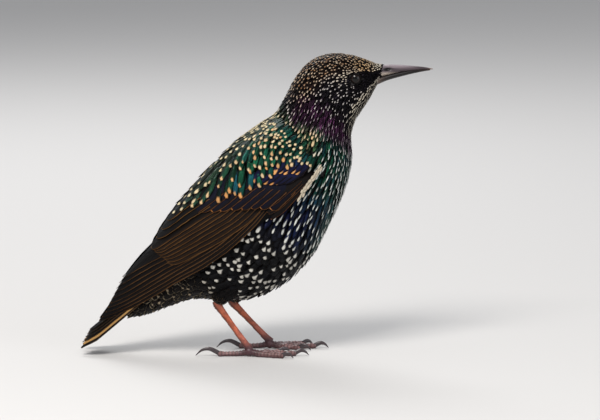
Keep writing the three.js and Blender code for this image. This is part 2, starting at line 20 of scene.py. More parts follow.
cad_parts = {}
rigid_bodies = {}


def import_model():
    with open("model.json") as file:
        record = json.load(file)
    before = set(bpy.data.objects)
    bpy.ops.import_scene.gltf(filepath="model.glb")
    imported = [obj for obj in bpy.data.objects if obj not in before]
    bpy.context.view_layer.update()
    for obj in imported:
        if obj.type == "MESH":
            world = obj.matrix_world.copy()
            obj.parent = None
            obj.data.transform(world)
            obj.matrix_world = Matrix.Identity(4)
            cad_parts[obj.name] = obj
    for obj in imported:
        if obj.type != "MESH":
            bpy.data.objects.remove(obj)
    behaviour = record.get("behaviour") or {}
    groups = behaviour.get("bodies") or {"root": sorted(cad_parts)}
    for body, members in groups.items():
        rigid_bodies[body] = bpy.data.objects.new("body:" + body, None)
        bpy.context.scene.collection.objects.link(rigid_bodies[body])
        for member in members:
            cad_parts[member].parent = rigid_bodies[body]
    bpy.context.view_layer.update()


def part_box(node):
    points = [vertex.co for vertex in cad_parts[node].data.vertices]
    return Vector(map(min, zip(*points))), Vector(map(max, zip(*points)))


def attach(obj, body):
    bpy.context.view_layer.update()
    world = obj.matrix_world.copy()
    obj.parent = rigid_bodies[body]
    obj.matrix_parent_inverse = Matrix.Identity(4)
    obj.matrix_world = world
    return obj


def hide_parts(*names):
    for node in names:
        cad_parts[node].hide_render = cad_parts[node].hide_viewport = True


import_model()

# %% [markdown]
# One frame for everything
#
# All shapes below are worked out in millimetres, with the bird's own X towards the bill, Y to its
# left and Z up from the floor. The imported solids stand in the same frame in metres, moved along X,
# so the middle of an eye tells how far. Placing pieces by a named point like this one keeps them
# right even if the solids are moved later.

# %% Find the shift between the bird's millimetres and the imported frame
EYE_AT = (56.4, 7.3, 136.3)
MILLIMETRES = 1000
eye_low, eye_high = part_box("eye_left")
SHIFT_X = (eye_low[0] + eye_high[0]) / 2 - EYE_AT[0] / MILLIMETRES


def to_frame(points):
    """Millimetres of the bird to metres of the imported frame."""
    return np.asarray(points, float) / MILLIMETRES + np.array([SHIFT_X, 0.0, 0.0])


print("shift along X: %.4f m" % SHIFT_X)

# %% [markdown]
# The camera
#
# The photograph looks at the bird's right side from a little above, through a long lens. A long lens
# far away flattens the bird just as the photograph does. The camera comes first, so that every
# render from here on can be laid beside the photograph.

# %% Camera
CAMERA_TARGET = (29.4, 0.0, 70.6)
CAMERA_RISE = 8.0
CAMERA_DISTANCE = 2.45
CAMERA_SEES_TO = 20.0
FRAME_WIDTH = 0.294
SENSOR = 36.0

rise = math.radians(CAMERA_RISE)
target = Vector(to_frame(CAMERA_TARGET))
camera_data = bpy.data.cameras.new("camera")
camera_data.sensor_width = SENSOR
camera_data.lens = SENSOR * CAMERA_DISTANCE / FRAME_WIDTH
camera_data.clip_end = CAMERA_SEES_TO
camera = bpy.data.objects.new("camera", camera_data)
camera.location = target + CAMERA_DISTANCE * Vector((0, -math.cos(rise), math.sin(rise)))
camera.rotation_euler = (target - camera.location).to_track_quat("-Z", "Y").to_euler()
bpy.context.collection.objects.link(camera)
bpy.context.scene.camera = camera
print("lens: %.0f mm" % camera_data.lens)

# %% [markdown]
# The slices of the body
#
# A bird's body is easiest to describe by slices that follow it from the bill to the tail: where each
# meets the line of the back, where it meets the belly, and half its width. Values between slices come
# from a smooth curve. A place is counted in slices, and an angle goes round from the back, positive on
# the left. Any point of the surface then has a pair of numbers, which is just what is needed to lay
# feathers along it. Sculpting would give a form as good, but no such numbers.

# %% Tables of slices: back x, back z, belly x, belly z, half width, all in millimetres
BODY = np.array([
    [71.0, 142.5, 69.0, 135.4, 3.1],
    [66.6, 143.0, 66.2, 130.8, 5.0],
    [61.2, 145.0, 63.0, 124.8, 7.8],
    [54.6, 147.0, 59.4, 119.4, 9.7],
    [47.4, 147.9, 56.6, 114.8, 11.2],
    [40.4, 146.9, 55.0, 110.4, 12.2],
    [33.6, 143.4, 54.4, 106.0, 13.2],
    [27.1, 136.0, 54.8, 101.2, 14.8],
    [22.2, 126.8, 54.9, 95.8, 17.3],
    [17.2, 118.6, 54.0, 89.6, 20.6],
    [8.2, 111.8, 51.8, 81.6, 23.6],
    [-4.0, 102.6, 47.8, 71.8, 26.0],
    [-12.2, 93.6, 42.4, 60.6, 27.2],
    [-19.6, 83.4, 35.6, 48.4, 27.0],
    [-25.4, 73.0, 23.6, 35.8, 25.0],
    [-30.4, 63.2, 8.0, 27.6, 21.6],
    [-35.2, 54.6, -9.0, 26.6, 17.6],
    [-40.0, 46.6, -23.0, 26.8, 13.8],
    [-45.0, 38.6, -35.0, 23.0, 10.8],
    [-50.6, 30.4, -45.6, 19.0, 8.6],
    [-56.0, 22.4, -54.6, 17.4, 4.6],
])
WING = np.array([
    [17.6, 120.0, 56.0, 89.0, 21.6],
    [8.0, 113.6, 53.6, 80.6, 25.0],
    [-4.4, 104.4, 49.6, 70.8, 27.9],
    [-13.0, 95.2, 43.6, 59.8, 29.5],
    [-20.8, 85.0, 34.8, 49.4, 29.6],
    [-30.0, 73.8, 20.0, 38.6, 27.6],
    [-38.6, 63.0, 2.0, 30.6, 23.2],
    [-46.0, 53.6, -16.0, 26.4, 18.6],
    [-53.0, 44.8, -31.0, 22.4, 13.8],
    [-60.2, 35.4, -45.6, 19.0, 9.6],
    [-66.8, 27.6, -57.5, 15.4, 6.4],
    [-72.5, 20.6, -67.0, 12.6, 4.2],
])
print("%d slices of the body, %d of the wing" % (len(BODY), len(WING)))

# %% Points and directions on the surface that slices span
MIDDLE_Y = 5
END_MARGIN = 0.3
NORMAL_STEPS = (0.05, 1.5)


def between_rows(table, place):
    """The rows of a table, smoothed at places counted in rows."""
    padded = np.vstack([2 * table[0] - table[1], table, 2 * table[-1] - table[-2]])
    i = np.clip(np.floor(place).astype(int), 0, len(table) - 2)
    t = (place - i)[..., None]
    a, b, c, d = (padded[i + k] for k in range(4))
    return b + 0.5 * t * (c - a + t * (2 * a - 5 * b + 4 * c - d + t * (3 * (b - c) + d - a)))


def slices_at(table, place):
    """Back, belly, half width and middle y. The last is zero where the table has no column for it."""
    row = between_rows(table, np.clip(place, 0, len(table) - END_MARGIN))
    middle_y = row[..., MIDDLE_Y] if table.shape[1] > MIDDLE_Y else 0 * row[..., 4]
    return row[..., 0:2], row[..., 2:4], row[..., 4], middle_y


def on_slices(table, place, degrees, grow=0.0):
    """Points of the surface, grown outwards by some millimetres."""
    place, degrees = np.broadcast_arrays(np.asarray(place, float), np.asarray(degrees, float))
    top, low, half, middle_y = slices_at(table, place)
    up = (top - low) / 2
    reach = np.linalg.norm(up, axis=-1)
    angle = np.radians(degrees)
    along = np.cos(angle) * (reach + grow) / reach
    xz = (top + low) / 2 + up * along[..., None]
    return np.stack([xz[..., 0], middle_y + (half + grow) * np.sin(angle), xz[..., 1]], axis=-1)


def step_ahead(table, place, degrees, step):
    """The way from a step behind a point to a step ahead of it."""
    return on_slices(table, place + step, degrees) - on_slices(table, place - step, degrees)


def step_round(table, place, degrees, step):
    """The same by degrees, round the slice."""
    return on_slices(table, place, degrees + step) - on_slices(table, place, degrees - step)


def unit(vectors):
    """Vectors of length one."""
    return vectors / np.maximum(np.linalg.norm(vectors, axis=-1, keepdims=True), 1e-9)


def way_out(table, place, degrees):
    """The outward normal of the surface."""
    ahead = step_ahead(table, place, degrees, NORMAL_STEPS[0])
    out = unit(np.cross(ahead, step_round(table, place, degrees, NORMAL_STEPS[1])))
    top, low, _, middle_y = slices_at(table, place)
    xz = (top + low) / 2
    middle = np.stack([xz[..., 0], middle_y, xz[..., 1]], -1)
    inward = np.sum((on_slices(table, place, degrees) - middle) * out, axis=-1) < 0
    return np.where(inward[..., None], -out, out)


print("body from x = %.1f to %.1f mm" % (BODY[0, 0], BODY[-1, 0]))


# %% Ramps, hills and colours
def ramp(value, low, high):
    """0 below low, 1 above high, smooth between. It falls instead where low is the greater."""
    t = np.clip((np.asarray(value, float) - low) / (high - low), 0, 1)
    return t * t * (3 - 2 * t)


def hill(value, top, width):
    """1 at the top, falling off smoothly on both sides."""
    return np.exp(-(((value - top) / width) ** 2))


def colour(tone):
    """Six hex digits made linear, as Blender wants a colour. Anything else passes through."""
    if not isinstance(tone, str):
        return tone
    parts = np.array([int(tone[i : i + 2], 16) for i in (0, 2, 4)]) / 255
    return np.where(parts > 0.04045, ((parts + 0.055) / 1.055) ** 2.4, parts / 12.92)


def blend(a, b, share):
    """Two numbers or colours mixed by a share, which may differ for each feather or point."""
    a, b, share = colour(a), colour(b), np.asarray(share, float)
    if np.shape(b)[-1:] == (3,) and np.shape(b) != share.shape:
        share = share[..., None]
    return a + (b - a) * share


def layered(ground, layers):
    """A ground colour under layers of (colour, share), each painted over the ones before it."""
    for tone, share in layers:
        ground = blend(ground, tone, share)
    return ground


def with_alpha(colours, alpha=1.0):
    """Colours of three parts given a fourth."""
    return np.concatenate([colours, np.full((len(colours), 1), alpha)], -1)


print("half way from black to white:", blend("000000", "ffffff", 0.5))

# %% [markdown]
# Meshes from arrays
#
# With thousands of feathers, arrays are far quicker than adding vertices one by one. This helper takes
# points and faces, writes what each point should tell its material as attributes, and gives the piece
# its body and its material.

# %% Turn arrays into a piece
KINDS = {3: ("FLOAT_VECTOR", "vector"), 4: ("FLOAT_COLOR", "color")}


def write(data, key, values):
    """Numbers written into the data of a mesh at once."""
    data.foreach_set(key, np.asarray(values, np.float32).ravel())


def add_piece(name, points, faces, material, slot, attributes=None, uv=None, replaced=()):
    """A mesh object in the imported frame, riding on the bird's only body."""
    mesh = bpy.data.meshes.new(name)
    faces = np.asarray(faces, np.int32)
    mesh.vertices.add(len(points))
    write(mesh.vertices, "co", to_frame(points))
    mesh.loops.add(faces.size)
    mesh.loops.foreach_set("vertex_index", faces.ravel())
    mesh.polygons.add(len(faces))
    mesh.polygons.foreach_set("loop_start", np.arange(0, faces.size, faces.shape[1], dtype=np.int32))
    mesh.polygons.foreach_set("use_smooth", np.ones(len(faces), bool))
    for label, values in (attributes or {}).items():
        kind, key = KINDS[values.shape[1]]
        write(mesh.attributes.new(label, kind, "POINT").data, key, values)
    if uv is not None:
        write(mesh.uv_layers.new(name="OFBake").data, "uv", uv[faces.ravel()])
    mesh.update(calc_edges=True)
    mesh.validate()
    mesh.materials.append(material)
    piece = bpy.data.objects.new(name, mesh)
    bpy.context.collection.objects.link(piece)
    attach(piece, "root")
    if replaced:
        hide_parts(*replaced)
    print("%s: %d faces" % (name, len(faces)))


# %% Faces of tubes
def tube_quads(rings, sides, closed=False):
    """Quads that join rings of points. A closed tube runs on from its last ring to its first."""
    i, j = np.meshgrid(np.arange(rings if closed else rings - 1), np.arange(sides), indexing="ij")
    i_next, j_next = (i + 1) % rings, (j + 1) % sides
    corners = [i * sides + j, i * sides + j_next, i_next * sides + j_next, i_next * sides + j]
    return np.stack(corners, -1).reshape(-1, 4)


def closed_tube(rings, sides, turned=False):
    """Triangles of a tube with both ends shut by fans. Its two end points come after all rings."""
    quads, end = tube_quads(rings, sides), rings * sides
    j = np.arange(sides)
    j_next = (j + 1) % sides
    fans = np.vstack([np.stack([0 * j + end, j_next, j], -1),
                      np.stack([0 * j + end + 1, end - sides + j, end - sides + j_next], -1)])
    if turned:
        quads, fans = quads[:, ::-1], fans[:, ::-1]
    return np.vstack([quads[:, [0, 1, 2]], quads[:, [0, 2, 3]], fans])


print("a closed tube of 3 rings of 4 points has", len(closed_tube(3, 4)), "triangles")

# %% [markdown]
# Effects that several materials share
#
# A feather is a shaft with hundreds of fine barbs that slant towards its tip, so light breaks up into
# fine streaks on it. Its pattern also repeats from feather to feather: a dark vane, a pale mark at the
# tip, a pale rim. Both effects are groups here. Each vertex of a feather knows how far along it lies
# and how far across, so a group can draw the pattern sharp at any size, with no picture.

# %% Make nodes and groups
def feed(node, inputs):
    """Give inputs of a node a link, where the value is another node's output, or else the value."""
    for label, value in inputs.items():
        socket = node.inputs[label]
        if isinstance(value, bpy.types.NodeSocket):
            node.id_data.links.new(value, socket)
        elif socket.type == "RGBA":
            socket.default_value = (*colour(value)[:3], 1)
        else:
            socket.default_value = value


def add_node(tree, kind, inputs, **settings):
    """A node with its settings made and its inputs fed. Its outputs are returned."""
    node = tree.nodes.new("ShaderNode" + kind)
    for key, value in settings.items():
        setattr(node, key, value)
    feed(node, inputs)
    return node.outputs


def math_node(tree, operation, *values):
    """The result of a Math node fed with numbers or outputs."""
    return add_node(tree, "Math", dict(enumerate(values)), operation=operation)[0]


def smooth_node(tree, value, low, high):
    """0 where value is under low, 1 where it is over high."""
    bounds = {"Value": value, "From Min": low, "From Max": high}
    return add_node(tree, "MapRange", bounds, interpolation_type="SMOOTHSTEP")["Result"]


def mix_node(tree, share, first, second):
    """Two colours mixed by a share."""
    return add_node(tree, "Mix", {"Factor": share, 6: first, 7: second}, data_type="RGBA")[2]


def new_group(name, inputs, outputs):
    """A shader node group: itself, what it is given by name, and the node that takes its results."""
    group = bpy.data.node_groups.new(name, "ShaderNodeTree")
    for label, value in inputs.items():
        kind = "NodeSocketVector" if isinstance(value, tuple) else "NodeSocketFloat"
        group.interface.new_socket(label, in_out="INPUT", socket_type=kind).default_value = value
    for label in outputs:
        group.interface.new_socket(label, in_out="OUTPUT", socket_type="NodeSocketFloat")
    return group, group.nodes.new("NodeGroupInput").outputs, group.nodes.new("NodeGroupOutput")


print("ready to build groups")

# %% Barbs: fine slanting ridges on both sides of the shaft
BARB_HEIGHT = 0.6
CLUMP_RATE = 1.7
CLUMP_HEIGHT = 0.4
SHAFT_EDGE = (0.1, 0.02)
BARB_SHADE = (0.22, 0.8)

barbs, given, found = new_group(
    "feather barbs", {"Along": 0, "Across": 0, "Chance": 0, "Count": 40, "Slant": 0.25}, ("Ridge", "Shade"))
calc = partial(math_node, barbs)
side_way = calc("ABSOLUTE", given["Across"])
slanted = calc("SUBTRACT", given["Along"], calc("MULTIPLY", side_way, given["Slant"]))
phase = calc("ADD", calc("MULTIPLY", slanted, given["Count"]), given["Chance"])
wave = calc("SINE", calc("MULTIPLY", phase, math.tau))
clumps = calc("SINE", calc("MULTIPLY", phase, CLUMP_RATE))
ridge = calc("ADD", calc("MULTIPLY", wave, BARB_HEIGHT), calc("MULTIPLY", clumps, CLUMP_HEIGHT))
# The Shade output is painted shade: it darkens the colour in the troughs between the ridges and lightens it
# on their crests.
feed(found, {
    "Ridge": calc("ADD", ridge, smooth_node(barbs, side_way, *SHAFT_EDGE)),
    "Shade": calc("ADD", calc("MULTIPLY", ridge, BARB_SHADE[0]), BARB_SHADE[1]),
})
print("group:", barbs.name)

# %% Marks: the pale tip and rim of a feather
marks, given, found = new_group(
    "feather marks",
    {"Along": 0, "Across": 0, "Chance": 0, "Tip Length": 0.2, "Tip Width": 0.6, "Rim": 0,
     "Softness": 0.25, "Slenderness": 4},
    ("Tip", "Rim"))
calc = partial(math_node, marks)


def waver(label, rate, chance_rate, depth):
    """A slow wave along or across the feather, shifted by chance, that makes edges uneven."""
    phase = calc("ADD", calc("MULTIPLY", given[label], rate), calc("MULTIPLY", given["Chance"], chance_rate))
    return calc("MULTIPLY", calc("SINE", phase), depth)


def in_units_of(label, distance):
    """A distance counted in lengths or widths of the tip, which may be zero."""
    return calc("DIVIDE", distance, calc("MAXIMUM", given[label], 1e-3))


side_way = calc("ABSOLUTE", given["Across"])
from_tip = calc("SUBTRACT", 1.0, given["Along"])
reach = calc("ADD", in_units_of("Tip Length", from_tip), in_units_of("Tip Width", side_way))
reach = calc("ADD", reach, waver("Across", 9.0, 20.0, 0.08))
tip = smooth_node(marks, reach, calc("ADD", 1.0, given["Softness"]), calc("SUBTRACT", 1.0, given["Softness"]))
to_end = calc("SUBTRACT", 1.0, calc("MULTIPLY", from_tip, given["Slenderness"]))
rim_width = calc("MULTIPLY", given["Rim"], calc("ADD", waver("Along", 19.0, 50.0, 0.22), 1.0))
rim = smooth_node(marks, calc("MAXIMUM", side_way, to_end),
                  calc("SUBTRACT", 1.0, calc("MULTIPLY", rim_width, 1.5)),
                  calc("SUBTRACT", 1.001, calc("MULTIPLY", rim_width, 0.6)))
feed(found, {"Tip": tip, "Rim": rim})
print("group:", marks.name)

# %% Grain: small bumps and blotches on horn and skin
BLOTCH_SCALE = 0.22

grain, given, found = new_group(
    "fine grain", {"Vector": (0, 0, 0), "Scale": 900, "Depth": 0.5}, ("Height", "Blotch"))


def noise(scale):
    """Noise with fine detail, at a scale."""
    inputs = {"Vector": given["Vector"], "Scale": scale, "Detail": 5, "Roughness": 0.6}
    return add_node(grain, "TexNoise", inputs)["Fac"]


feed(found, {
    "Height": math_node(grain, "MULTIPLY", noise(given["Scale"]), given["Depth"]),
    "Blotch": noise(math_node(grain, "MULTIPLY", given["Scale"], BLOTCH_SCALE)),
})
print("group:", grain.name)

# %% [markdown]
# The plumage material
#
# A starling's gloss is structural: thin layers in the barbs throw back green, violet or blue while
# the feather itself is black, and only where light strikes the vane squarely. A metallic share gives
# that coloured highlight with a black body under it. The pale marks hold no such layers, so they are
# matt. One function makes the material of every feathered piece, and each gets its own values.

# %% What materials are made of
RELIEF_DEPTH = 0.0002


def material_named(name):
    """An empty node material with its tree and its Principled shader."""
    material = bpy.data.materials.new(name)
    material.use_nodes = True
    tree = material.node_tree
    return material, tree, next(node for node in tree.nodes if node.type == "BSDF_PRINCIPLED")


def attribute(tree, name):
    """What the mesh stores at each point, under a name."""
    return add_node(tree, "Attribute", {}, attribute_name=name)


def parts_of(tree, name):
    """The three numbers of a stored vector."""
    return add_node(tree, "SeparateXYZ", {0: attribute(tree, name)["Vector"]})


def grained(tree, scale, depth, stretch=None):
    """The fine grain in a piece's own space, stretched where a material asks for it."""
    place = add_node(tree, "TexCoord", {})["Object"]
    if stretch:
        place = add_node(tree, "Mapping", {"Vector": place, "Scale": stretch})["Vector"]
    return add_node(tree, "Group", {"Vector": place, "Scale": scale, "Depth": depth}, node_tree=grain)


def relief(tree, height, strength, depth=RELIEF_DEPTH):
    """Normals that let a height catch the light. The depth is in metres."""
    return add_node(tree, "Bump", {"Height": height, "Strength": strength, "Distance": depth})["Normal"]


print("relief of barbs: %.1f mm deep" % (RELIEF_DEPTH * MILLIMETRES))

# %% Plumage material
VANE_EDGE = 0.95
PANEL_EDGE = (0.58, 0.95)
EDGE_SHADE = 0.15
DEEP_BLACK = (0.002, 0.002, 0.003)
PALE_ROUGHER = 0.3


def plumage(name, barb_count, slant, gloss, rough, bump, centre, slender, level):
    """Feathers with a glossy dark vane, a matt tip and a matt rim."""
    material, tree, shader = material_named(name)
    calc = partial(math_node, tree)
    along, across, chance = parts_of(tree, "vane")
    tip_length, tip_width, rim_width = parts_of(tree, "mark_size")
    where = {"Along": along, "Across": across, "Chance": chance}
    ridges = add_node(tree, "Group", {**where, "Count": barb_count, "Slant": slant}, node_tree=barbs)
    sizes = {"Tip Length": tip_length, "Tip Width": tip_width, "Rim": rim_width, "Slenderness": slender}
    drawn = add_node(tree, "Group", {**where, **sizes}, node_tree=marks)
    # Painted sheen and shade: each vane shows its colour along its middle, where the gloss catches the light,
    # and fades to deep black towards its edges.
    middle = smooth_node(tree, calc("ABSOLUTE", across), VANE_EDGE, centre)
    lit = calc("ADD", calc("MULTIPLY", middle, 1 - EDGE_SHADE), EDGE_SHADE)
    shade = calc("MULTIPLY", ridges["Shade"], lit)
    tint, rim_tint = attribute(tree, "tint"), attribute(tree, "rim")["Color"]
    # On long feathers the vane stays dark inside the pale panel: partly the web's own dark colour, partly a
    # painted shadow line where the next feather laps over it.
    panel = calc("MULTIPLY", tint["Alpha"], smooth_node(tree, across, *PANEL_EDGE))
    vane = mix_node(tree, panel, tint["Color"], rim_tint)
    vane = mix_node(tree, shade, DEEP_BLACK, vane)
    vane = mix_node(tree, drawn["Rim"], vane, rim_tint)
    pale = calc("MAXIMUM", drawn["Tip"], drawn["Rim"])
    feed(shader, {
        "Base Color": mix_node(tree, drawn["Tip"], vane, attribute(tree, "mark")["Color"]),
        "Metallic": calc("MULTIPLY", calc("SUBTRACT", 1.0, pale), gloss),
        "Roughness": calc("ADD", rough, calc("MULTIPLY", pale, PALE_ROUGHER)),
        "Specular IOR Level": level,
        "Normal": relief(tree, ridges["Ridge"], bump),
    })
    return material


fine_plumage = plumage("small feathers", barb_count=9, slant=0.35, gloss=0.75, rough=0.36, bump=0.5,
                       centre=0.25, slender=4.0, level=0.16)
loose_plumage = plumage("loose belly feathers", barb_count=8, slant=0.5, gloss=0.4, rough=0.5, bump=0.6,
                        centre=0.3, slender=3.0, level=0.16)
flight_plumage = plumage("flight feathers", barb_count=70, slant=0.12, gloss=0.1, rough=0.55, bump=0.35,
                         centre=0.2, slender=11.0, level=0.1)
print("three kinds of plumage")

# %% [markdown]
# One feather, thousands of times
#
# A vane is a grid of points bent to the body: wide and rounded or narrow and pointed, cupped across,
# its root sunk and its tip raised so that it rides over the feather behind. A top and a bottom grid
# meet at the rim, which makes each vane a thin closed lens. All vanes of a piece share one list of
# faces, shifted from feather to feather.

# %% Vanes from grids of points
def vane_faces(rows, columns):
    """Quads of one closed vane: the top grid, and a bottom that shares its rim."""
    top = np.arange(rows * columns).reshape(rows, columns)
    low = top.copy()
    inner = np.arange((rows - 2) * (columns - 2)).reshape(rows - 2, columns - 2)
    low[1:-1, 1:-1] = rows * columns + inner

    def quads(grid, turned):
        corners = [grid[:-1, :-1], grid[:-1, 1:], grid[1:, 1:], grid[1:, :-1]]
        return np.stack(corners[::-1] if turned else corners, -1).reshape(-1, 4)

    return np.vstack([quads(top, False), quads(low, True)])


def lay_vanes(name, points, out, thick, facts, material, slot, patches, replaced=()):
    """A piece of many vanes. points and out are (feathers, rows, columns, 3), thick is (feathers,)."""
    count, rows, columns, _ = points.shape
    per_vane = rows * columns + (rows - 2) * (columns - 2)
    inner = (slice(None), slice(1, -1), slice(1, -1))

    def both(top, low=None):
        grids, size = [top, top[inner] if low is None else low], top.shape[-1]
        return np.concatenate([grid.reshape(count, -1, size) for grid in grids], 1).reshape(-1, size)

    corners = both(points, points[inner] - out[inner] * thick[:, None, None, None])
    faces = vane_faces(rows, columns) + per_vane * np.arange(count)[:, None, None]
    along, across, chance = np.broadcast_arrays(facts["rows"][:, None], facts["columns"],
                                                facts["chance"][:, None, None])
    attributes = {"vane": both(np.stack([along, across, chance], -1))}
    for key, alpha in (("tint", facts.get("panel", 0.0)), ("mark", 1.0), ("rim", 1.0)):
        attributes[key] = np.repeat(with_alpha(facts[key], alpha), per_vane, axis=0)
    attributes["mark_size"] = np.repeat(facts["mark_size"], per_vane, axis=0)
    place, size = patches
    place = place[:, None, None]
    uv = np.stack([place[..., 0] + size[0] * (along - 0.5), place[..., 1] + size[1] * across / 2], -1)
    add_piece(name, corners, faces.reshape(-1, 4), material, slot, attributes, both(uv), replaced)


def on_side(grids, side):
    """Grids of the left side's points or directions, or their reflection for the right side."""
    return grids[:, :, ::side] * np.array([1, side, 1])


print("faces of a small feather:", len(vane_faces(7, 5)))

# %% Where the feathers root
TRIES = 400000
CROWDING = 11.0
AREA_STEPS = (0.02, 0.5)


def scatter(table, spacing, seed, places, keep=None):
    """Places and angles of roots, none nearer to another than its own spacing in millimetres."""
    draw = np.random.default_rng(seed)
    place = draw.uniform(*places, TRIES)
    degrees = draw.uniform(-180, 180, TRIES)
    ahead = step_ahead(table, place, degrees, AREA_STEPS[0])
    around = step_round(table, place, degrees, AREA_STEPS[1])
    area = np.linalg.norm(np.cross(ahead, around), axis=-1) / (4 * AREA_STEPS[0] * AREA_STEPS[1])
    wanted = spacing(place, degrees)
    density = CROWDING * area / wanted**2
    chosen = draw.random(TRIES) < density * (places[1] - places[0]) * 360 / TRIES
    if keep is not None:
        chosen &= keep(place, degrees)
    place, degrees, wanted = place[chosen], degrees[chosen], wanted[chosen]
    points = on_slices(table, place, degrees)
    tree = KDTree(len(points))
    for i, point in enumerate(points):
        tree.insert(point, i)
    tree.balance()
    free = np.ones(len(points), bool)
    roots = []
    for i, point in enumerate(points):
        if free[i]:
            roots.append(i)
            free[[j for _, j, _ in tree.find_range(point, wanted[i])]] = False
    return place[roots], degrees[roots], wanted[roots]


print("tries for each coat:", TRIES)

# %% Keep the eyes clear
EYE_OPENING = 2.35
EYE_SIDE = 4
FEATHER_MARGIN = 0.25


def on_eye(points, margin):
    """Whether points lie over an eye's opening, widened by a margin."""
    across = np.hypot(points[..., 0] - EYE_AT[0], points[..., 2] - EYE_AT[2])
    return (across < EYE_OPENING + margin) & (np.abs(points[..., 1]) > EYE_SIDE)


def clear_of_eyes(points):
    """Feathers, halved where they lie over an eye, and whether each is clear of it then."""

    def hit(shape):
        return on_eye(shape, FEATHER_MARGIN).reshape(len(shape), -1).any(1)

    root = points[:, :1, 2:3]
    points = np.where(hit(points)[:, None, None, None], root + (points - root) * 0.5, points)
    return points, ~hit(points)


print("bare opening round an eye: %.2f mm" % (EYE_OPENING + FEATHER_MARGIN))

# %% Small feathers laid on a surface
ROWS = np.array([0.0, 0.3, 0.52, 0.7, 0.84, 0.94, 1.0])
COLUMNS = np.array([-1.0, -0.5, 0.0, 0.5, 1.0])
PATCH = 0.003
LENGTH_RANGE = (0.9, 1.1)
WIDTH_RANGE = (0.92, 1.08)
TURN_SPREAD = 0.07
RISE_SPREAD = 0.03
MEASURED_AT = 0.25
MEASURED_STEP = 0.05
ROOT_WIDTH = 0.4
LEAST_WIDTH = 0.03
LEAST_ROUND = 0.03
MOST_DEGREES = 70
SIDE_DROP = 0.16
SHAFT_RISE = 0.06
THICK_SHARE = 0.05
LEAST_THICK = 0.04
UNWRAP_MARGIN = 0.02
PER_FEATHER = ("length", "half", "point", "round_from", "ragged", "turn", "root_lift", "tip_lift")


def bend_vanes(table, roots, facts, draw):
    """Grids of points of small feathers bent to a surface, their ways out and half widths.

    s runs along each feather and v across it, and p and d are the places and degrees of its points."""
    place, degrees, spacing = (values[:, None, None] for values in roots)
    one_each = place.shape
    of = {key: np.broadcast_to(facts[key], len(place))[:, None, None] for key in PER_FEATHER}
    s, v = ROWS[:, None], COLUMNS
    length = of["length"] * draw.uniform(*LENGTH_RANGE, one_each)
    half = of["half"] * draw.uniform(*WIDTH_RANGE, one_each)
    ahead = step_ahead(table, place + MEASURED_AT, degrees, MEASURED_STEP)
    along_mm = np.linalg.norm(ahead, axis=-1) / (2 * MEASURED_STEP)
    late = np.clip((s - of["round_from"]) / (1 - of["round_from"]), 0, 1)
    width = (ROOT_WIDTH + (1 - ROOT_WIDTH) * ramp(s, 0, 0.4)) * (1 - late**2) ** of["point"] + LEAST_WIDTH
    width = width * half
    ragged = 1 + of["ragged"] * draw.uniform(-1, 1, (len(place), len(ROWS), len(COLUMNS)))
    ragged[:, :, 1:-1] = 1
    p = place + s * (length / along_mm) + 0 * v
    turn = (of["turn"] + draw.normal(0, TURN_SPREAD, one_each)) * s * length
    round_mm = np.maximum(np.linalg.norm(step_round(table, p, degrees, 1), axis=-1) / 2, LEAST_ROUND)
    d = degrees + np.clip((v * width * ragged + turn) / round_mm, -MOST_DEGREES, MOST_DEGREES)
    out = way_out(table, p, d)
    rise = of["root_lift"] + (of["tip_lift"] - of["root_lift"]) * s**1.1
    rise = rise + draw.normal(0, RISE_SPREAD, one_each) * spacing
    cup = -SIDE_DROP * width * v**2 * (1 - 0.5 * s) + SHAFT_RISE * half * (1 - np.abs(v))
    return on_slices(table, p, d) + out * (rise + cup)[..., None], out, half[:, 0, 0]


def lay_coat(name, table, roots, looks, seed, material, slot, side=1):
    """Small feathers rooted on a surface, lying towards higher places and bent to it."""
    place, degrees, _ = roots
    count = len(place)
    draw = np.random.default_rng(seed)
    facts = looks(*roots, draw)
    points, out, half = bend_vanes(table, roots, facts, draw)
    points, kept = clear_of_eyes(points)
    shown = {key: np.broadcast_to(colour(facts[key]), (count, 3))[kept] for key in ("tint", "mark", "rim")}
    sizes = [np.broadcast_to(size, count) for size in facts["mark_size"]]
    shown.update(mark_size=np.stack(sizes, -1)[kept], chance=draw.random(count)[kept],
                 rows=ROWS, columns=COLUMNS)
    up_unwrap = UNWRAP_MARGIN + (1 - 2 * UNWRAP_MARGIN) * place / len(table)
    root_uv = np.stack([degrees / 360 + 0.5, up_unwrap], -1)[kept]
    thick = (THICK_SHARE * half + LEAST_THICK)[kept]
    lay_vanes(name, on_side(points[kept], side), on_side(out[kept], side), thick, shown, material, slot,
              (root_uv, (PATCH, PATCH)))


print("points of a small feather:", len(ROWS) * len(COLUMNS), "on top")

# %% [markdown]
# The skin
#
# Under its coat the bird is one smooth form, a little inside the solids of its head, neck and torso.
# It closes the gaps between them, and it is dark, so that nothing pale shows where feathers part. The
# solids could be shrunk instead, but their cuts would stay, so the skin is a loft through the slices.
# The coat is thin on the face and deep on the belly, so the skin's depth follows.

# %% Lofts through slices
CAP_ANGLES = (0.6, 1.1, 1.5)


def loft(table, rings, sides, grow, first_cap=0.4, last_cap=0.4, turned=False):
    """Points and faces of a closed form through slices, with small rings that round off its ends."""
    place = np.linspace(0, len(table) - 1, rings)[:, None]
    degrees = np.arange(sides) * 360 / sides
    points = on_slices(table, place, degrees, np.broadcast_to(grow, rings)[:, None])

    def cap(ring, other, bulge):
        middle = ring.mean(0)
        ahead = unit(middle - other.mean(0))
        return [middle + (ring - middle) * math.cos(a) + ahead * bulge * math.sin(a) for a in CAP_ANGLES]

    first, last = cap(points[0], points[1], first_cap)[::-1], cap(points[-1], points[-2], last_cap)
    points = np.concatenate([first, points, last])
    ends = [points[0].mean(0), points[-1].mean(0)]
    return np.vstack([points.reshape(-1, 3), *ends]), closed_tube(len(points), sides, turned)


print("rings of each cap:", len(CAP_ANGLES))

# %% Skin
COAT_DEPTH = 1.6
FACE_DEPTH = 0.65
SKIN_RINGS = 150
SKIN_SIDES = 72

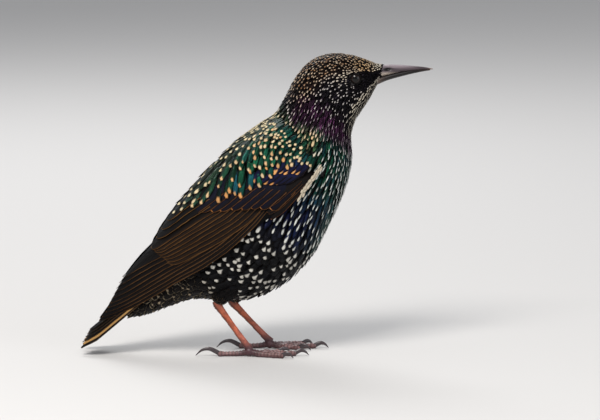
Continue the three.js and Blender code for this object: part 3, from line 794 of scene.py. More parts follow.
skin_material, tree, shader = material_named("dark skin")
blotch = grained(tree, 700.0, 1.0)["Blotch"]
feed(shader, {"Base Color": mix_node(tree, blotch, "0b0809", "1c1517"), "Roughness": 0.8})
skin_depth = blend(FACE_DEPTH, COAT_DEPTH, ramp(np.linspace(0, len(BODY) - 1, SKIN_RINGS), 3, 9))
add_piece("skin", *loft(BODY, SKIN_RINGS, SKIN_SIDES, -skin_depth, 0.5, 1.4), skin_material, "plumage_body",
          replaced=("head", "neck", "torso"))

# %% [markdown]
# What each small feather looks like
#
# Nobody paints a starling feather by feather. Its pattern is a rule: the crown is brown with buff tips,
# the face black with small specks, the neck violet, the back and breast green, the belly black with
# small white arrowheads and the vent brown with buff rims. The rules below turn a root's place and
# angle into a feather's size, colours and marks, with small random differences, and blend at borders.

# %% Sizes of the body's feathers
def eye_distance(points):
    """Distance from the nearer eye."""
    mirrored = np.abs(points[..., 1:2])
    flat = np.concatenate([points[..., :1], mirrored, points[..., 2:]], -1)
    return np.linalg.norm(flat - np.array(EYE_AT), axis=-1)


def body_spacing(place, degrees):
    """How far apart feathers root, in millimetres."""
    d = np.abs(degrees)
    spacing = blend(0.75, 1.25, ramp(place, 0.5, 3.5)) * blend(0.95, 1.0, ramp(d, 40, 70))
    for wider, low, high in ((1.55, 5, 7.5), (2.2, 7, 9.5), (2.9, 9.5, 12.5), (2.3, 15, 17.5)):
        spacing = blend(spacing, wider, ramp(place, low, high))
    near_eye = ramp(eye_distance(on_slices(BODY, place, degrees)), 3.0, 8.0)
    return spacing * blend(0.6, 1.0, near_eye) * blend(1.0, 0.9, ramp(d, 120, 175) * ramp(place, 9, 5))


print("spacing on the breast: %.1f mm" % body_spacing(np.array(10.0), np.array(90.0)))


# %% Zones of the body's plumage
def body_zones(place, degrees):
    """How far each root belongs to each zone, from 0 to 1."""
    d = np.abs(degrees)
    eye = eye_distance(on_slices(BODY, place, degrees))
    band = 7.85 - 1.8 * ramp(d, 40, 150)
    zone = SimpleNamespace(
        crown=ramp(d, 72, 50) * ramp(place, 8.2, 6.6),
        forehead=ramp(d, 84, 62) * ramp(place, 3.4, 1.2),
        brow=hill(d, 68, 11) * ramp(place, 5.0, 3.4) * ramp(place, 1.6, 2.6),
        lores=ramp(d, 58, 70) * ramp(d, 114, 98) * ramp(place, 3.1, 2.4),
        eye_ring=ramp(eye, 3.7, 3.1),
        malar=hill(d, 112 + 4.5 * place, 9) * ramp(place, 4.6, 2.6),
        chin=ramp(d, 118, 145) * ramp(place, 6.4, 4.4),
        violet=hill(place, band, 0.85) * ramp(d, 34, 60),
        throat_side=ramp(d, 118, 150) * ramp(place, 5.2, 6.4) * ramp(place, 9.4, 8.2),
        green=ramp(place, band + 0.4, band + 1.3),
        nape=ramp(d, 108, 84) * ramp(place, band, band + 0.8) * ramp(place, 11.5, 10),
        flank=ramp(place, 10.0, 11.6) * ramp(d, 60, 85) * ramp(d, 160, 130),
        black=ramp(place, 11.6, 13.0),
        vent=ramp(place, 14.8, 16.2),
        below=ramp(d, 80, 100),
    )
    zone.teal = zone.green * ramp(place, 9.6, 11.2) * ramp(d, 175, 140)
    zone.plain = np.clip(zone.lores * (1 - zone.malar) + zone.eye_ring, 0, 1) > 0.45
    breast = 0.75 * ramp(place, band - 1, band + 2) * ramp(place, 13.4, 11)
    zone.hackle = np.clip(zone.violet + zone.chin + breast, 0, 1) * (1 - 0.5 * zone.nape)
    return zone


print("zones:", ", ".join(vars(body_zones(np.array(5.0), np.array(90.0)))))


# %% Colours of the body's feathers
def body_tints(zone, draw):
    """The vanes: black, brown, violet, green or blue, with a random depth of gloss."""
    count = len(zone.crown)
    tint = layered("100d12", [
        ("1c120d", zone.crown),
        ("3a1a36", np.clip(zone.violet + 0.7 * zone.throat_side, 0, 1)),
        (blend("12442f", "0f3a44", draw.random(count) ** 1.6), zone.green),
        (blend("2c4a34", "3a4a2a", draw.random(count)), zone.nape * 0.8),
        ("16354a", zone.teal * 0.8),
        (blend("10163a", "161230", draw.random(count)), zone.flank * 0.9),
        ("06070b", zone.black),
        ("110c0a", zone.vent),
    ])
    return tint * np.exp(draw.normal(-0.1, 0.5, count))[:, None]


def body_mark_colours(zone, place, degrees, draw):
    """The tips: buff on the head and the nape, lilac on the neck, white below."""
    count = len(place)
    warm = 0.6 * ramp(np.abs(degrees), 35, 60)
    mark = layered("bdb6b2", [
        (blend("9c7450", "cdb9a0", draw.random(count)), zone.crown),
        ("d8cab2", zone.brow),
        (blend("cda878", "ddd2be", ramp(place, 1.8, 0.4)), zone.forehead),
        ("d8cdb8", np.clip(zone.chin + zone.malar, 0, 1)),
        ("b79fb0", np.clip(zone.violet + zone.throat_side, 0, 1) * 0.6),
        ("dfe1da", zone.green * zone.below),
        (blend("e6d3a8", "d8aa74", warm * draw.random(count)), zone.nape),
        ("d6d2c8", zone.black),
        ("a5937a", zone.vent),
    ])
    return mark * draw.uniform(0.7, 1.05, count)[:, None]


print("darkest ground of the vanes:", np.round(colour("06070b"), 4))


# %% Marks and forms of the body's feathers
def body_marks(zone, draw):
    """Length and width of each pale tip and width of its rim. Some feathers have no tip."""
    count = len(zone.crown)
    tip_length = (0.25 + 0.02 * zone.crown + 0.16 * zone.forehead + 0.16 * zone.brow + 0.26 * zone.chin
                  + 0.4 * zone.malar + 0.06 * zone.violet + 0.16 * zone.nape + 0.07 * zone.green
                  - 0.08 * zone.black - 0.06 * zone.vent)
    tip_width = (0.9 - 0.06 * zone.crown + 0.2 * zone.forehead + 0.3 * zone.malar - 0.2 * zone.chin
                 - 0.25 * zone.violet + 0.45 * zone.nape - 0.1 * zone.black)
    pale_zones = zone.nape + zone.chin + zone.crown + zone.malar + zone.brow + zone.forehead
    share = layered(blend(0.6, 0.98, np.clip(pale_zones, 0, 1)),
                    [(0.8, zone.green), (0.55, zone.black), (0.25, zone.vent)])
    spotted = (draw.random(count) < share) & ~zone.plain
    tip_length = np.where(spotted, tip_length * draw.uniform(0.7, 1.3, count), 0.0)
    return tip_length, tip_width, 0.02 + 0.2 * zone.vent * draw.random(count) + 0.05 * zone.nape


def body_looks(place, degrees, spacing, draw):
    """Everything that differs from feather to feather, by rules of place and angle."""
    zone = body_zones(place, degrees)
    return {
        "tint": np.clip(body_tints(zone, draw), 0, 1),
        "mark": np.clip(body_mark_colours(zone, place, degrees, draw), 0, 1),
        "rim": blend("3a2c22", "9a8c74", zone.vent),
        "mark_size": body_marks(zone, draw),
        "length": spacing * blend(3.0, 4.2, zone.hackle),
        "half": spacing * blend(0.78, 0.5, zone.hackle) * blend(1.0, 0.95, zone.black),
        "point": blend(blend(0.6, 0.95, zone.hackle), 0.36, zone.black),
        "round_from": blend(blend(0.5, 0.3, zone.hackle), 0.78, zone.black),
        "ragged": 0.10 + 0.10 * zone.black + 0.12 * zone.chin,
        "turn": 0.0,
        "root_lift": -0.46 * spacing,
        "tip_lift": blend(0.1, 0.16, zone.black) * spacing,
    }


print("looks of the body: ready")


# %% Lay the coat of the body, region by region
BODY_SEED = 11
BODY_COAT_SEED = 100
SKIN_MARGIN = 0.2
WING_COVERS = (10.2, 16, 38, 78)
MANTLE_COVERS = (9.6, 14.2, -1, 38)
REGIONS = [
    ("coat_face", 0, 3.4, "plumage_head", fine_plumage),
    ("coat_crown_and_cheeks", 3.4, 5.6, "plumage_head", fine_plumage),
    ("coat_neck", 5.6, 8.2, "plumage_neck", fine_plumage),
    ("coat_breast", 8.2, 12.2, "plumage_body", fine_plumage),
    ("coat_belly", 12.2, 15.4, "plumage_body", loose_plumage),
    ("coat_vent_and_rump", 15.4, 20, "plumage_body", loose_plumage),
]


def within(place, degrees, box):
    """Whether roots lie between two places and two angles from the back."""
    d = np.abs(degrees)
    return (place > box[0]) & (place < box[1]) & (d > box[2]) & (d < box[3])


def body_keeps(place, degrees):
    """Where the body has feathers of its own: not under a wing or the mantle, and not on an eye."""
    hidden = within(place, degrees, WING_COVERS) | within(place, degrees, MANTLE_COVERS)
    return ~hidden & ~on_eye(on_slices(BODY, place, degrees), SKIN_MARGIN)


roots = scatter(BODY, body_spacing, BODY_SEED, (0.02, 19.4), keep=body_keeps)
print("body feathers:", len(roots[0]))
for number, (name, low, high, slot, material) in enumerate(REGIONS):
    inside = (roots[0] >= low) & (roots[0] < high)
    part = [values[inside] for values in roots]
    lay_coat(name, BODY, part, body_looks, BODY_COAT_SEED + number, material, slot)

# %% [markdown]
# Folded wings
#
# A folded wing is a pack of cards: primaries lowest, then secondaries and tertials, each row of coverts
# over the roots of the row behind, and each feather over the next one down, so that only its outer web
# and its pale edge show. The rows lie on slices a little outside the body's. A dark bed closes the
# space under them. A picture of the feathers on one smooth shell would be quicker, but edges that
# really overlap keep their shadows from every side.

# %% Rows of wing feathers, lowest feather first
# roots and tips are (place, degrees) of the lowest and the highest feather of a row. half is half a
# vane's width, lift its height over the slices and tilt its slope across, in millimetres. from and
# point shape the end, panel is how far the rim's colour runs into the outer web, and tip is the mark.
WING_ROWS = [
    {"name": "primaries", "count": 9, "roots": [(2.6, 88), (3.2, 74)], "tips": [(10.95, 95), (8.8, 24)],
     "bend": -7, "half": 4.2, "lift": 0.0, "from": 0.6, "point": 0.8, "tint": "0b0807", "rim": "6c4c2e",
     "rim_width": 0.09, "panel": 0.25, "mark": "75512e", "tip": (0.0, 0.5), "tilt": 0.35},
    {"name": "secondaries", "count": 8, "roots": [(3.0, 84), (3.2, 58)], "tips": [(6.7, 62), (6.85, 28)],
     "bend": 0, "half": 4.2, "lift": 0.3, "from": 0.88, "point": 0.5, "tint": "0e0906", "rim": "7c5630",
     "rim_width": 0.08, "panel": 0.62, "mark": "8c6034", "tip": (0.012, 0.9), "tilt": 0.35},
    {"name": "tertials", "count": 3, "roots": [(3.0, 52), (3.1, 36)], "tips": [(6.4, 21), (5.6, 13)],
     "bend": 0, "half": 5.2, "lift": 0.65, "from": 0.8, "point": 0.5, "tint": "0a0909", "rim": "8f6638",
     "rim_width": 0.07, "panel": 0.1, "mark": "9a6b3a", "tip": (0.01, 0.9), "tilt": 0.3},
    {"name": "greater_coverts", "count": 9, "roots": [(1.4, 98), (2.3, 54)], "tips": [(3.12, 90), (4.8, 39)],
     "bend": 0, "half": 3.6, "lift": 0.7, "from": 0.86, "point": 0.4, "tint": "0c0d1e", "rim": "7a5030",
     "rim_width": 0.085, "panel": 0.14, "mark": "b3733c", "tip": (0.022, 5.0), "tilt": 0.3},
    {"name": "median_coverts", "count": 6, "roots": [(1.0, 95), (1.5, 70)], "tips": [(2.1, 87), (2.8, 67)],
     "bend": 0, "half": 2.6, "lift": 0.85, "from": 0.66, "point": 0.7, "tint": "10143a", "rim": "3a2c28",
     "rim_width": 0.05, "panel": 0.0, "mark": "cf8f52", "tip": (0.2, 0.9), "tilt": 0.25},
    {"name": "lesser_coverts", "count": 5, "roots": [(0.55, 94), (0.9, 76)], "tips": [(1.5, 92), (2.0, 76)],
     "bend": 0, "half": 2.3, "lift": 1.0, "from": 0.62, "point": 0.7, "tint": "10143a", "rim": "3a2c28",
     "rim_width": 0.05, "panel": 0.0, "mark": "d3995e", "tip": (0.22, 1.0), "tilt": 0.2},
    {"name": "alula", "count": 4, "roots": [(1.0, 106), (1.2, 99)], "tips": [(3.45, 97), (3.2, 88)],
     "bend": 0, "half": 1.9, "lift": 0.8, "from": 0.7, "point": 0.7, "tint": "0f0907", "rim": "6f4526",
     "rim_width": 0.1, "panel": 0.25, "mark": "6f4526", "tip": (0.0, 0.6), "tilt": 0.25},
]
print("feathers of a wing:", sum(row["count"] for row in WING_ROWS))

# %% Long feathers
LONG_ROWS = np.concatenate([np.linspace(0, 0.8, 17), [0.86, 0.91, 0.95, 0.975, 0.99, 1.0]])
LONG_COLUMNS = np.linspace(-1, 1, 9)
INNER_WEB = 0.86
LONG_ROOT_WIDTH = 0.45
LONG_WIDENING = 1.9
LONG_LEAST_WIDTH = 0.08
LONG_RAGGED = 0.035
LONG_CUP = 0.05
LONG_SHAFT = 0.1


def long_feathers(path, row, draw):
    """Grids of points for long feathers. path(t) gives their middles, ways across and ways out."""
    t, v = LONG_ROWS, LONG_COLUMNS
    middle, across, out = (grid[:, :, None] for grid in path(t))
    late = np.clip((t - row["from"]) / (1 - row["from"]), 0, 1)
    width = row["half"] * np.minimum(1, LONG_ROOT_WIDTH + LONG_WIDENING * t)
    width = width * (1 - late**2) ** row["point"] + LONG_LEAST_WIDTH
    ragged = 1 + LONG_RAGGED * draw.uniform(-1, 1, (len(middle), len(t), len(v)))
    ragged[:, :, 1:-1] = 1
    raised = row["tilt"] * v + LONG_CUP * width[:, None] * (1 - v**2) + LONG_SHAFT * hill(v, 0, LONG_SHAFT)
    points = middle + across * (v * width[:, None] * ragged)[..., None] + out * raised[..., None]
    return points, np.broadcast_to(out, points.shape)


def long_facts(row, count, draw):
    """Colours and marks of long feathers. The rim is drawn on the outer web alone."""
    return {
        "tint": colour(row["tint"]) * np.exp(draw.normal(0, 0.12, count))[:, None],
        "mark": colour(row["mark"]) * draw.uniform(0.8, 1.05, count)[:, None],
        "rim": colour(row["rim"]) * draw.uniform(0.8, 1.1, count)[:, None],
        "mark_size": np.tile([*row["tip"], row["rim_width"]], (count, 1)),
        "panel": row["panel"],
        "rows": LONG_ROWS,
        "columns": np.where(LONG_COLUMNS < 0, INNER_WEB * LONG_COLUMNS, LONG_COLUMNS),
        "chance": draw.random(count),
    }


def long_patches(count):
    """Each long feather has its own strip of the unwrap."""
    return np.stack([np.full(count, 0.5), (np.arange(count) + 0.5) / count], -1), (0.96, 0.9 / count)


print("points of a long feather:", len(LONG_ROWS) * len(LONG_COLUMNS), "on top")

# %% Where wing feathers run
ROOT_DEPTH = 2.4
ROOT_FALL = 5
TIP_WANDER = (0.05, 0.6)
PATH_STEP = 0.02


def on_wing(place, degrees, lift):
    """Points over the left wing's surface."""
    return on_slices(WING, place, degrees) + way_out(WING, place, degrees) * np.asarray(lift)[..., None]


def wing_path(row, draw):
    """Where the middles of a row of wing feathers run, for the left wing."""
    share = np.linspace(0, 1, row["count"])[:, None]
    root, tip = ([blend(a, b, share) for a, b in zip(*row[key])] for key in ("roots", "tips"))
    tip = [end + wander * draw.uniform(-1, 1, share.shape) for end, wander in zip(tip, TIP_WANDER)]

    def run(s):
        degrees = root[1] + (tip[1] - root[1]) * s + row["bend"] * (1 - share) * np.sin(math.pi * s)
        return root[0] + (tip[0] - root[0]) * s, degrees

    def path(t):
        lift = row["lift"] - ROOT_DEPTH * (1 - t) ** ROOT_FALL
        ahead = on_wing(*run(t + PATH_STEP), lift) - on_wing(*run(t - PATH_STEP), lift)
        out = way_out(WING, *run(t))
        return on_wing(*run(t), lift), unit(np.cross(unit(ahead), out)), out

    return path


print("roots of long feathers lie %.1f mm deep" % ROOT_DEPTH)

# %% Lay the wings
SIDES = ((1, "left"), (-1, "right"))
WING_SEED = 200
VANE_THICK = 0.22

for side, word in SIDES:
    for number, row in enumerate(WING_ROWS):
        draw = np.random.default_rng(WING_SEED + number)
        points, out = (on_side(grids, side) for grids in long_feathers(wing_path(row, draw), row, draw))
        facts = long_facts(row, row["count"], draw)
        facts["columns"] = facts["columns"][::side]
        replaced = (f"wing_{word}",) if row["name"] == "primaries" else ()
        lay_vanes(f"{row['name']}_{word}", points, out, np.full(row["count"], VANE_THICK), facts,
                  flight_plumage, "plumage_wing", long_patches(row["count"]), replaced)

# %% The dark bed under the wing feathers
WING_UPPER = [72, 60, 43, 28, 16, 9, 6, 5, 5, 6, 9, 16]
WING_LOWER = [88, 107, 108, 102, 96, 92, 90, 90, 91, 91, 90, 88]
BED_ROWS = np.linspace(0, 1, 30)
BED_COLUMNS = np.linspace(-1, 1, 13)
BED_START = 0.9
BED_LENGTH = 7.4
BED_WIDTH = 0.93
BED_ACROSS = 0.7
BED_THICK = 0.8
BED_SINKS = (0.75, 1.0, 0.8)

bed_place = BED_START + BED_ROWS[:, None] * BED_LENGTH
upper, lower = (np.interp(bed_place, range(12), edge) for edge in (WING_UPPER, WING_LOWER))
bed_degrees = (upper + lower) / 2 + (lower - upper) / 2 * BED_COLUMNS * BED_WIDTH
middle_sink, side_sink, end_sink = BED_SINKS
bed_lift = -middle_sink - side_sink * BED_COLUMNS**4 - end_sink * (2 * BED_ROWS[:, None] - 1) ** 6
bed = on_wing(bed_place, bed_degrees, bed_lift)[None]
bed_out = way_out(WING, bed_place, bed_degrees)[None]
bed_facts = {key: colour("070606")[None] for key in ("tint", "mark", "rim")}
bed_facts.update(rows=BED_ROWS, columns=BED_COLUMNS * BED_ACROSS, chance=np.zeros(1),
                 mark_size=np.zeros((1, 3)))
for side, word in SIDES:
    lay_vanes(f"wing_bed_{word}", on_side(bed, side), on_side(bed_out, side), np.array([BED_THICK]),
              bed_facts, flight_plumage, "plumage_wing", (np.array([[0.5, 0.5]]), (0.9, 0.9)))

# %% [markdown]
# Mantle, scapulars and lesser coverts
#
# The feathers of the back run on over the upper part of the folded wings, so they are laid on the
# wing's slices and lift over the coverts as they go round. They are the showiest ones: green or
# blue-green vanes, nearly each with a large buff tip. Towards the wrist they hang down over the wing.

# %% Where the mantle's feathers root
BORDER = np.array([(-0.5, 100), (0.4, 100), (0.9, 97), (1.45, 83), (1.9, 76), (2.6, 69), (3.5, 56),
                   (4.25, 37), (4.7, 28), (5.3, 12)])
MANTLE_SEED = 21
MANTLE_COAT_SEED = 120
MANTLE_TURN = 0.62
MANTLE_SWING = 12.0
MANTLE_REACH = 0.62


def mantle_spacing(place, degrees):
    """How far apart the feathers of the back root, in millimetres."""
    return blend(1.7, 3.4, ramp(place, 0.3, 2.5))


def mantle_turn(place, d):
    """Share of the turn that makes the shoulder feathers hang down over the wing."""
    return ramp(d, 14, 42) * ramp(place, 0.2, 1.3)


def mantle_keeps(place, degrees):
    """Roots so far ahead of the border that the tips end on it."""
    d = np.abs(degrees)
    swing = MANTLE_SWING * mantle_turn(place, d)
    limit = np.interp(place + MANTLE_REACH, BORDER[:, 0], BORDER[:, 1]) + 5 - swing
    near_breast = (place < 0.4) & (d > 82)
    return (d < limit) & (place < 4.55) & ~near_breast


mantle_roots = scatter(WING, mantle_spacing, MANTLE_SEED, (0.0, 4.6), keep=mantle_keeps)
print("mantle feathers:", len(mantle_roots[0]))


# %% Mantle
MANTLE_SPOTTED = 0.92
MANTLE_LIFTS = (-1.25, 1.35)


def mantle_looks(place, degrees, spacing, draw):
    """Feathers of the mantle, the scapulars and, near the wrist, the lesser coverts."""
    d = np.abs(degrees)
    count = len(place)
    tint = layered(blend("134c35", "0e3640", draw.random(count) ** 2), [
        ("28301c", 0.8 * ramp(d, 44, 16)),
        ("151a4a", ramp(d, 72, 84) * ramp(place, 0.3, 1.0)),
        ("141c22", ramp(place, 3.0, 4.4) * ramp(d, 30, 15)),
    ])
    tint = tint * np.exp(draw.normal(-0.3, 0.45, count))[:, None]
    mark = blend("dfc9a0", "d09458", ramp(place + draw.normal(0, 0.6, count), 0.2, 2.4))
    mark = blend(mark, "e2d2aa", ramp(d, 44, 18)) * draw.uniform(0.75, 1.05, count)[:, None]
    tip_length = draw.uniform(0.15, 0.24, count)
    tip_length = np.where(draw.random(count) < MANTLE_SPOTTED, tip_length, 0.02)
    tip_length = tip_length * blend(1.5, 1.0, ramp(place, 0.6, 2.0))
    low, high = MANTLE_LIFTS
    lift = blend(blend(low, high, ramp(d, 14, 48)), high, ramp(place, 2.2, 3.4) * ramp(d, 4, 14))
    return {
        "tint": np.clip(tint, 0, 1),
        "mark": np.clip(mark, 0, 1),
        "rim": "2e241c",
        "mark_size": (tip_length, draw.uniform(1.0, 1.7, count), 0.05),
        "length": spacing * 3.4,
        "half": spacing * 0.74,
        "point": 0.55,
        "round_from": 0.55,
        "ragged": 0.1,
        "turn": np.where(degrees > 0, 1, -1) * MANTLE_TURN * mantle_turn(place, d),
        "root_lift": lift - 0.34 * spacing,
        "tip_lift": lift + 0.14 * spacing,
    }


lay_coat("coat_mantle", WING, mantle_roots, mantle_looks, MANTLE_COAT_SEED, fine_plumage, "plumage_body")

# %% The cream strip along the wing's leading edge
EDGE_SEED = 23
EDGE_COAT_SEED = 121
EDGE_SPACING = 1.0
EDGE_DEGREES = 107.0
EDGE_HALF = 1.5


def edge_looks(place, degrees, spacing, draw):
    """Short cream feathers that wrap the wrist and the front of the wing."""
    shade = draw.uniform(0.75, 1.0, len(place))[:, None]
    return {
        "tint": colour("c0aa8c") * shade,
        "mark": colour("e2d4bc") * shade,
        "rim": colour("dccbb0") * shade,
        "mark_size": (1.2, 2.4, 0.0),
        "length": spacing * 3.2,
        "half": spacing * 0.6,
        "point": 0.6,
        "round_from": 0.5,
        "ragged": 0.15,
        "turn": 0.0,
        "root_lift": 0.5,
        "tip_lift": 1.15,
    }


def edge_keeps(place, degrees):
    """Roots in a narrow band at the front of the wing."""
    return np.abs(np.abs(degrees) - EDGE_DEGREES) < EDGE_HALF


def edge_spacing(place, degrees):
    """The same spacing for all of the strip."""
    return EDGE_SPACING + 0 * place


edge_roots = scatter(WING, edge_spacing, EDGE_SEED, (0.5, 2.2), keep=edge_keeps)
lay_coat("coat_wing_edge", WING, edge_roots, edge_looks, EDGE_COAT_SEED, loose_plumage, "plumage_wing")

# %% [markdown]
# The tail
#
# Twelve feathers, six a side. The middle pair lies on top and each pair further out lies lower, so
# from above the tail is a fan of edges. The second feather from outside shows a broad orange-buff
# edge along the whole of its outer web. The feathers are made as the wings' are, on straight paths.

# %% Where tail feathers run
TAIL_ROOT = np.array([-30.0, 0, 44.4])
TAIL_TIP = np.array([-73.6, 0, 11.1])
TAIL_PAIRS = 6
TAIL_FORK = 1.6
ASIDE_AT_ROOT = (1.0, 0.5)
ASIDE_AT_TIP = (1.6, 1.4)
PAIR_FALLS = (0.2, 0.75)
TAIL_LIFT = 0.35
tail_length = np.linalg.norm(TAIL_TIP - TAIL_ROOT)
tail_way = unit(TAIL_TIP - TAIL_ROOT)
tail_over = np.array([tail_way[2], 0, -tail_way[0]])
pair = np.arange(TAIL_PAIRS)[:, None]


def tail_path(side):
    """Where the middles of one side's tail feathers run."""

    def path(t):
        at_root, at_tip = (first + more * pair for first, more in (ASIDE_AT_ROOT, ASIDE_AT_TIP))
        aside = side * blend(at_root, at_tip, t)
        fall = blend(*PAIR_FALLS, t) * pair
        middle = TAIL_ROOT + (t * (tail_length + TAIL_FORK * pair))[..., None] * tail_way
        middle = middle + aside[..., None] * np.array([0, 1, 0]) + (TAIL_LIFT - fall)[..., None] * tail_over
        across = np.broadcast_to([0.0, side, 0.0], middle.shape)
        return middle, across, np.broadcast_to(tail_over, middle.shape)

    return path


print("tail: %.1f mm long" % tail_length)

# %% Tail feathers
TAIL_ROW = {"half": 4.1, "from": 0.84, "point": 0.6, "tilt": -0.3, "tint": "0b0908", "rim": "5d452a",
            "rim_width": 0.07, "panel": 0.05, "mark": "5d452a", "tip": (0.0, 0.5)}
TAIL_SEED = 300
TAIL_THICK = 0.2
TAIL_DROOP = 0.34
BUFF_FEATHER = -2
BUFF_RIM_WIDTH = 0.62

bare_ends = np.minimum(1, 3 * LONG_ROWS) * ramp(LONG_ROWS, 1.0, 0.84)
droop = np.clip(LONG_COLUMNS, 0, 1) ** 1.5 * bare_ends[:, None]
for side, word in SIDES:
    draw = np.random.default_rng(TAIL_SEED)
    points, out = long_feathers(tail_path(side), TAIL_ROW, draw)
    points = points - (TAIL_DROOP * pair[:, :, None] * droop)[..., None] * tail_over
    facts = long_facts(TAIL_ROW, TAIL_PAIRS, draw)
    facts["rim"][BUFF_FEATHER] = colour("a8814f")
    facts["mark_size"][BUFF_FEATHER, 2] = BUFF_RIM_WIDTH
    facts["columns"] = facts["columns"][::-side]
    lay_vanes(f"tail_feathers_{word}", points[:, :, ::-side], out[:, :, ::-side],
              np.full(TAIL_PAIRS, TAIL_THICK), facts, flight_plumage, "plumage_tail",
              long_patches(TAIL_PAIRS), ("tail",) if side > 0 else ())

# %% [markdown]
# Thighs
#
# What looks like a starling's knee is its heel. The real thigh is hidden in the flank, and the
# feathered shank shows as a short cone that ends just above the bare leg. It gets its own slices,
# so that small feathers can run down it by the same function as on the body.

# %% Slices of the shanks
LEGS = {
    "right": {"side": -1, "ankle": (-11.6, 12.0, 26.4), "toes": (4.6, 12.0, 3.6), "hip": (3.0, 9.0, 47.0)},
    "left": {"side": 1, "ankle": (-4.6, 12.0, 23.6), "toes": (14.4, 12.0, 3.6), "hip": (9.0, 9.0, 45.0)},
}
SHANK_PLACES = (0.0, 0.35, 0.62, 0.86, 0.99)
SHANK_RADII = (12.4, 10.4, 7.2, 4.3, 3.1)
SHANK_FLATNESS = 0.8


def shank_table(hip, ankle):
    """Slices from the hip to the ankle: front x, front z, rear x, rear z, half width, middle y."""
    hip, ankle = np.array(hip), np.array(ankle)
    way = unit((ankle - hip) * [1, 0, 1])
    front = np.array([-way[2], 0, way[0]])
    rows = []
    for t, radius in zip(SHANK_PLACES, SHANK_RADII):
        middle = hip + (ankle - hip) * t
        first, last = middle + front * radius, middle - front * radius
        rows.append([first[0], first[2], last[0], last[2], SHANK_FLATNESS * radius, middle[1]])
    return np.array(rows)


print("shanks:", ", ".join(LEGS))

# %% Feathered shanks
SHANK_SEED = 31
SHANK_COAT_SEED = 130
SHANK_RINGS = 30
SHANK_SIDES = 28
SHANK_DEPTH = 0.6


def shank_looks(place, degrees, spacing, draw):
    """Loose blackish feathers with pale buff rims."""
    count = len(place)
    low = ramp(place, 1.8, 3.0)
    return {
        "tint": colour("0d0908") * np.exp(draw.normal(0, 0.3, count))[:, None],
        "mark": colour("a8957a") * draw.uniform(0.6, 1.1, count)[:, None],
        "rim": colour("8a7356") * draw.uniform(0.6, 1.1, count)[:, None],
        "mark_size": (draw.uniform(0.0, 0.25, count) * low, 0.6, 0.2 * draw.random(count) * low),
        "length": spacing * 3.6,
        "half": spacing * 0.75,
        "point": 0.8,
        "round_from": 0.4,
        "ragged": 0.2,
        "turn": 0.0,
        "root_lift": -0.3 * spacing,
        "tip_lift": 0.22 * spacing,
    }


def shank_spacing(place, degrees):
    """How far apart the feathers of a shank root: closer towards the ankle."""
    return blend(1.9, 1.15, ramp(place, 1, 3.6))


for number, (word, leg) in enumerate(LEGS.items()):
    table, side = shank_table(leg["hip"], leg["ankle"]), leg["side"]
    points, faces = loft(table, SHANK_RINGS, SHANK_SIDES, -SHANK_DEPTH, turned=side < 0)
    add_piece(f"shank_skin_{word}", points * [1, side, 1], faces, skin_material, "plumage_body",
              replaced=(f"thigh_{word}",))
    roots = scatter(table, shank_spacing, SHANK_SEED + number, (1.0, 2.9))
    lay_coat(f"coat_shank_{word}", table, roots, shank_looks, SHANK_COAT_SEED + number, loose_plumage,
             "plumage_body", side)

# %% [markdown]
# The bill
#
# Two long halves that meet in one dark line. The upper one is a little wider and laps over the lower.
# The nostril is a slit in a shallow hollow near the root. In winter the bill is dark: mauve-grey on
# top, brown-black below and pale at the corner of the mouth, all under a satin horn gloss. Both halves
# are lofts like the body, and the colours are stored at their points, since they change with place.

# %% Slices of the bill's two halves, with the same columns as the body's
BILL_UPPER = np.array([
    [60.0, 140.6, 61.0, 134.6, 4.0],
    [66.0, 141.7, 66.2, 135.6, 3.8],
    [71.5, 142.3, 71.7, 137.0, 3.1],
    [77.5, 142.2, 77.7, 138.3, 2.5],
    [84.0, 141.7, 84.1, 139.3, 1.9],
    [90.0, 141.1, 90.0, 139.9, 1.15],
    [94.0, 140.3, 93.9, 139.9, 0.35],
])
BILL_LOWER = np.array([
    [60.0, 135.2, 60.2, 130.6, 3.8],
    [66.2, 136.2, 66.6, 132.3, 3.5],
    [71.7, 137.6, 72.0, 134.5, 2.8],
    [77.7, 138.9, 77.9, 136.2, 2.2],
    [84.1, 139.9, 84.2, 137.8, 1.6],
    [90.0, 140.4, 90.0, 139.0, 0.9],
    [92.6, 140.3, 92.6, 139.4, 0.35],
])
print("the bill sticks out to x = %.1f mm" % BILL_UPPER[-1, 0])

# %% Bill material
HORN_BLACK = (0.01, 0.008, 0.009)

horn, tree, shader = material_named("satin horn")
horn_grain = grained(tree, 1600.0, 0.6, stretch=(0.25, 1, 1))
base = attribute(tree, "tint")["Color"]
darker = mix_node(tree, 0.45, base, HORN_BLACK)
blotched = smooth_node(tree, horn_grain["Blotch"], 0.4, 0.62)
feed(shader, {
    "Base Color": mix_node(tree, blotched, base, darker),
    "Roughness": math_node(tree, "ADD", math_node(tree, "MULTIPLY", horn_grain["Blotch"], 0.25), 0.26),
    "Specular IOR Level": 0.3,
    "Normal": relief(tree, horn_grain["Height"], 0.25),
})
print("material:", horn.name)

# %% Bill
NOSTRIL_AT = (72.0, 140.1)
BILL_RINGS = 110
BILL_SIDES = 56


def nostril(x, z):
    """How deep in the nostril's slit and in the hollow round it points lie, from 0 to 1."""
    x, z = x - NOSTRIL_AT[0], z - NOSTRIL_AT[1]
    slit = np.exp(-((x / 1.7) ** 2) - (((z - 0.06 * x) / 0.55) ** 2))
    return slit, np.exp(-((x / 3.4) ** 2) - ((z / 1.3) ** 2))


def upper_tints(x, z):
    """Mauve-grey with a painted highlight along the ridge, pale at the corner of the mouth, and painted shade
    in the nostril and its hollow.
    """
    slit, hollow = nostril(x, z)
    return layered(blend("5f545a", "463a3f", ramp(x, 66, 93)), [
        # Painted highlight along the ridge of the bill.
        ("8c8086", 0.7 * ramp(z, 140.4, 141.8) * ramp(x, 92, 78)),
        ("d6c6b6", 0.85 * ramp(x, 82, 70) * ramp(z, 139.3, 137.9)),
        # Painted shade in the nostril's slit and in the hollow round it.
        ("050304", np.clip(1.8 * slit + 0.4 * hollow, 0, 1)),
        ("a88574", 0.6 * ramp(x, 91, 94)),
    ])


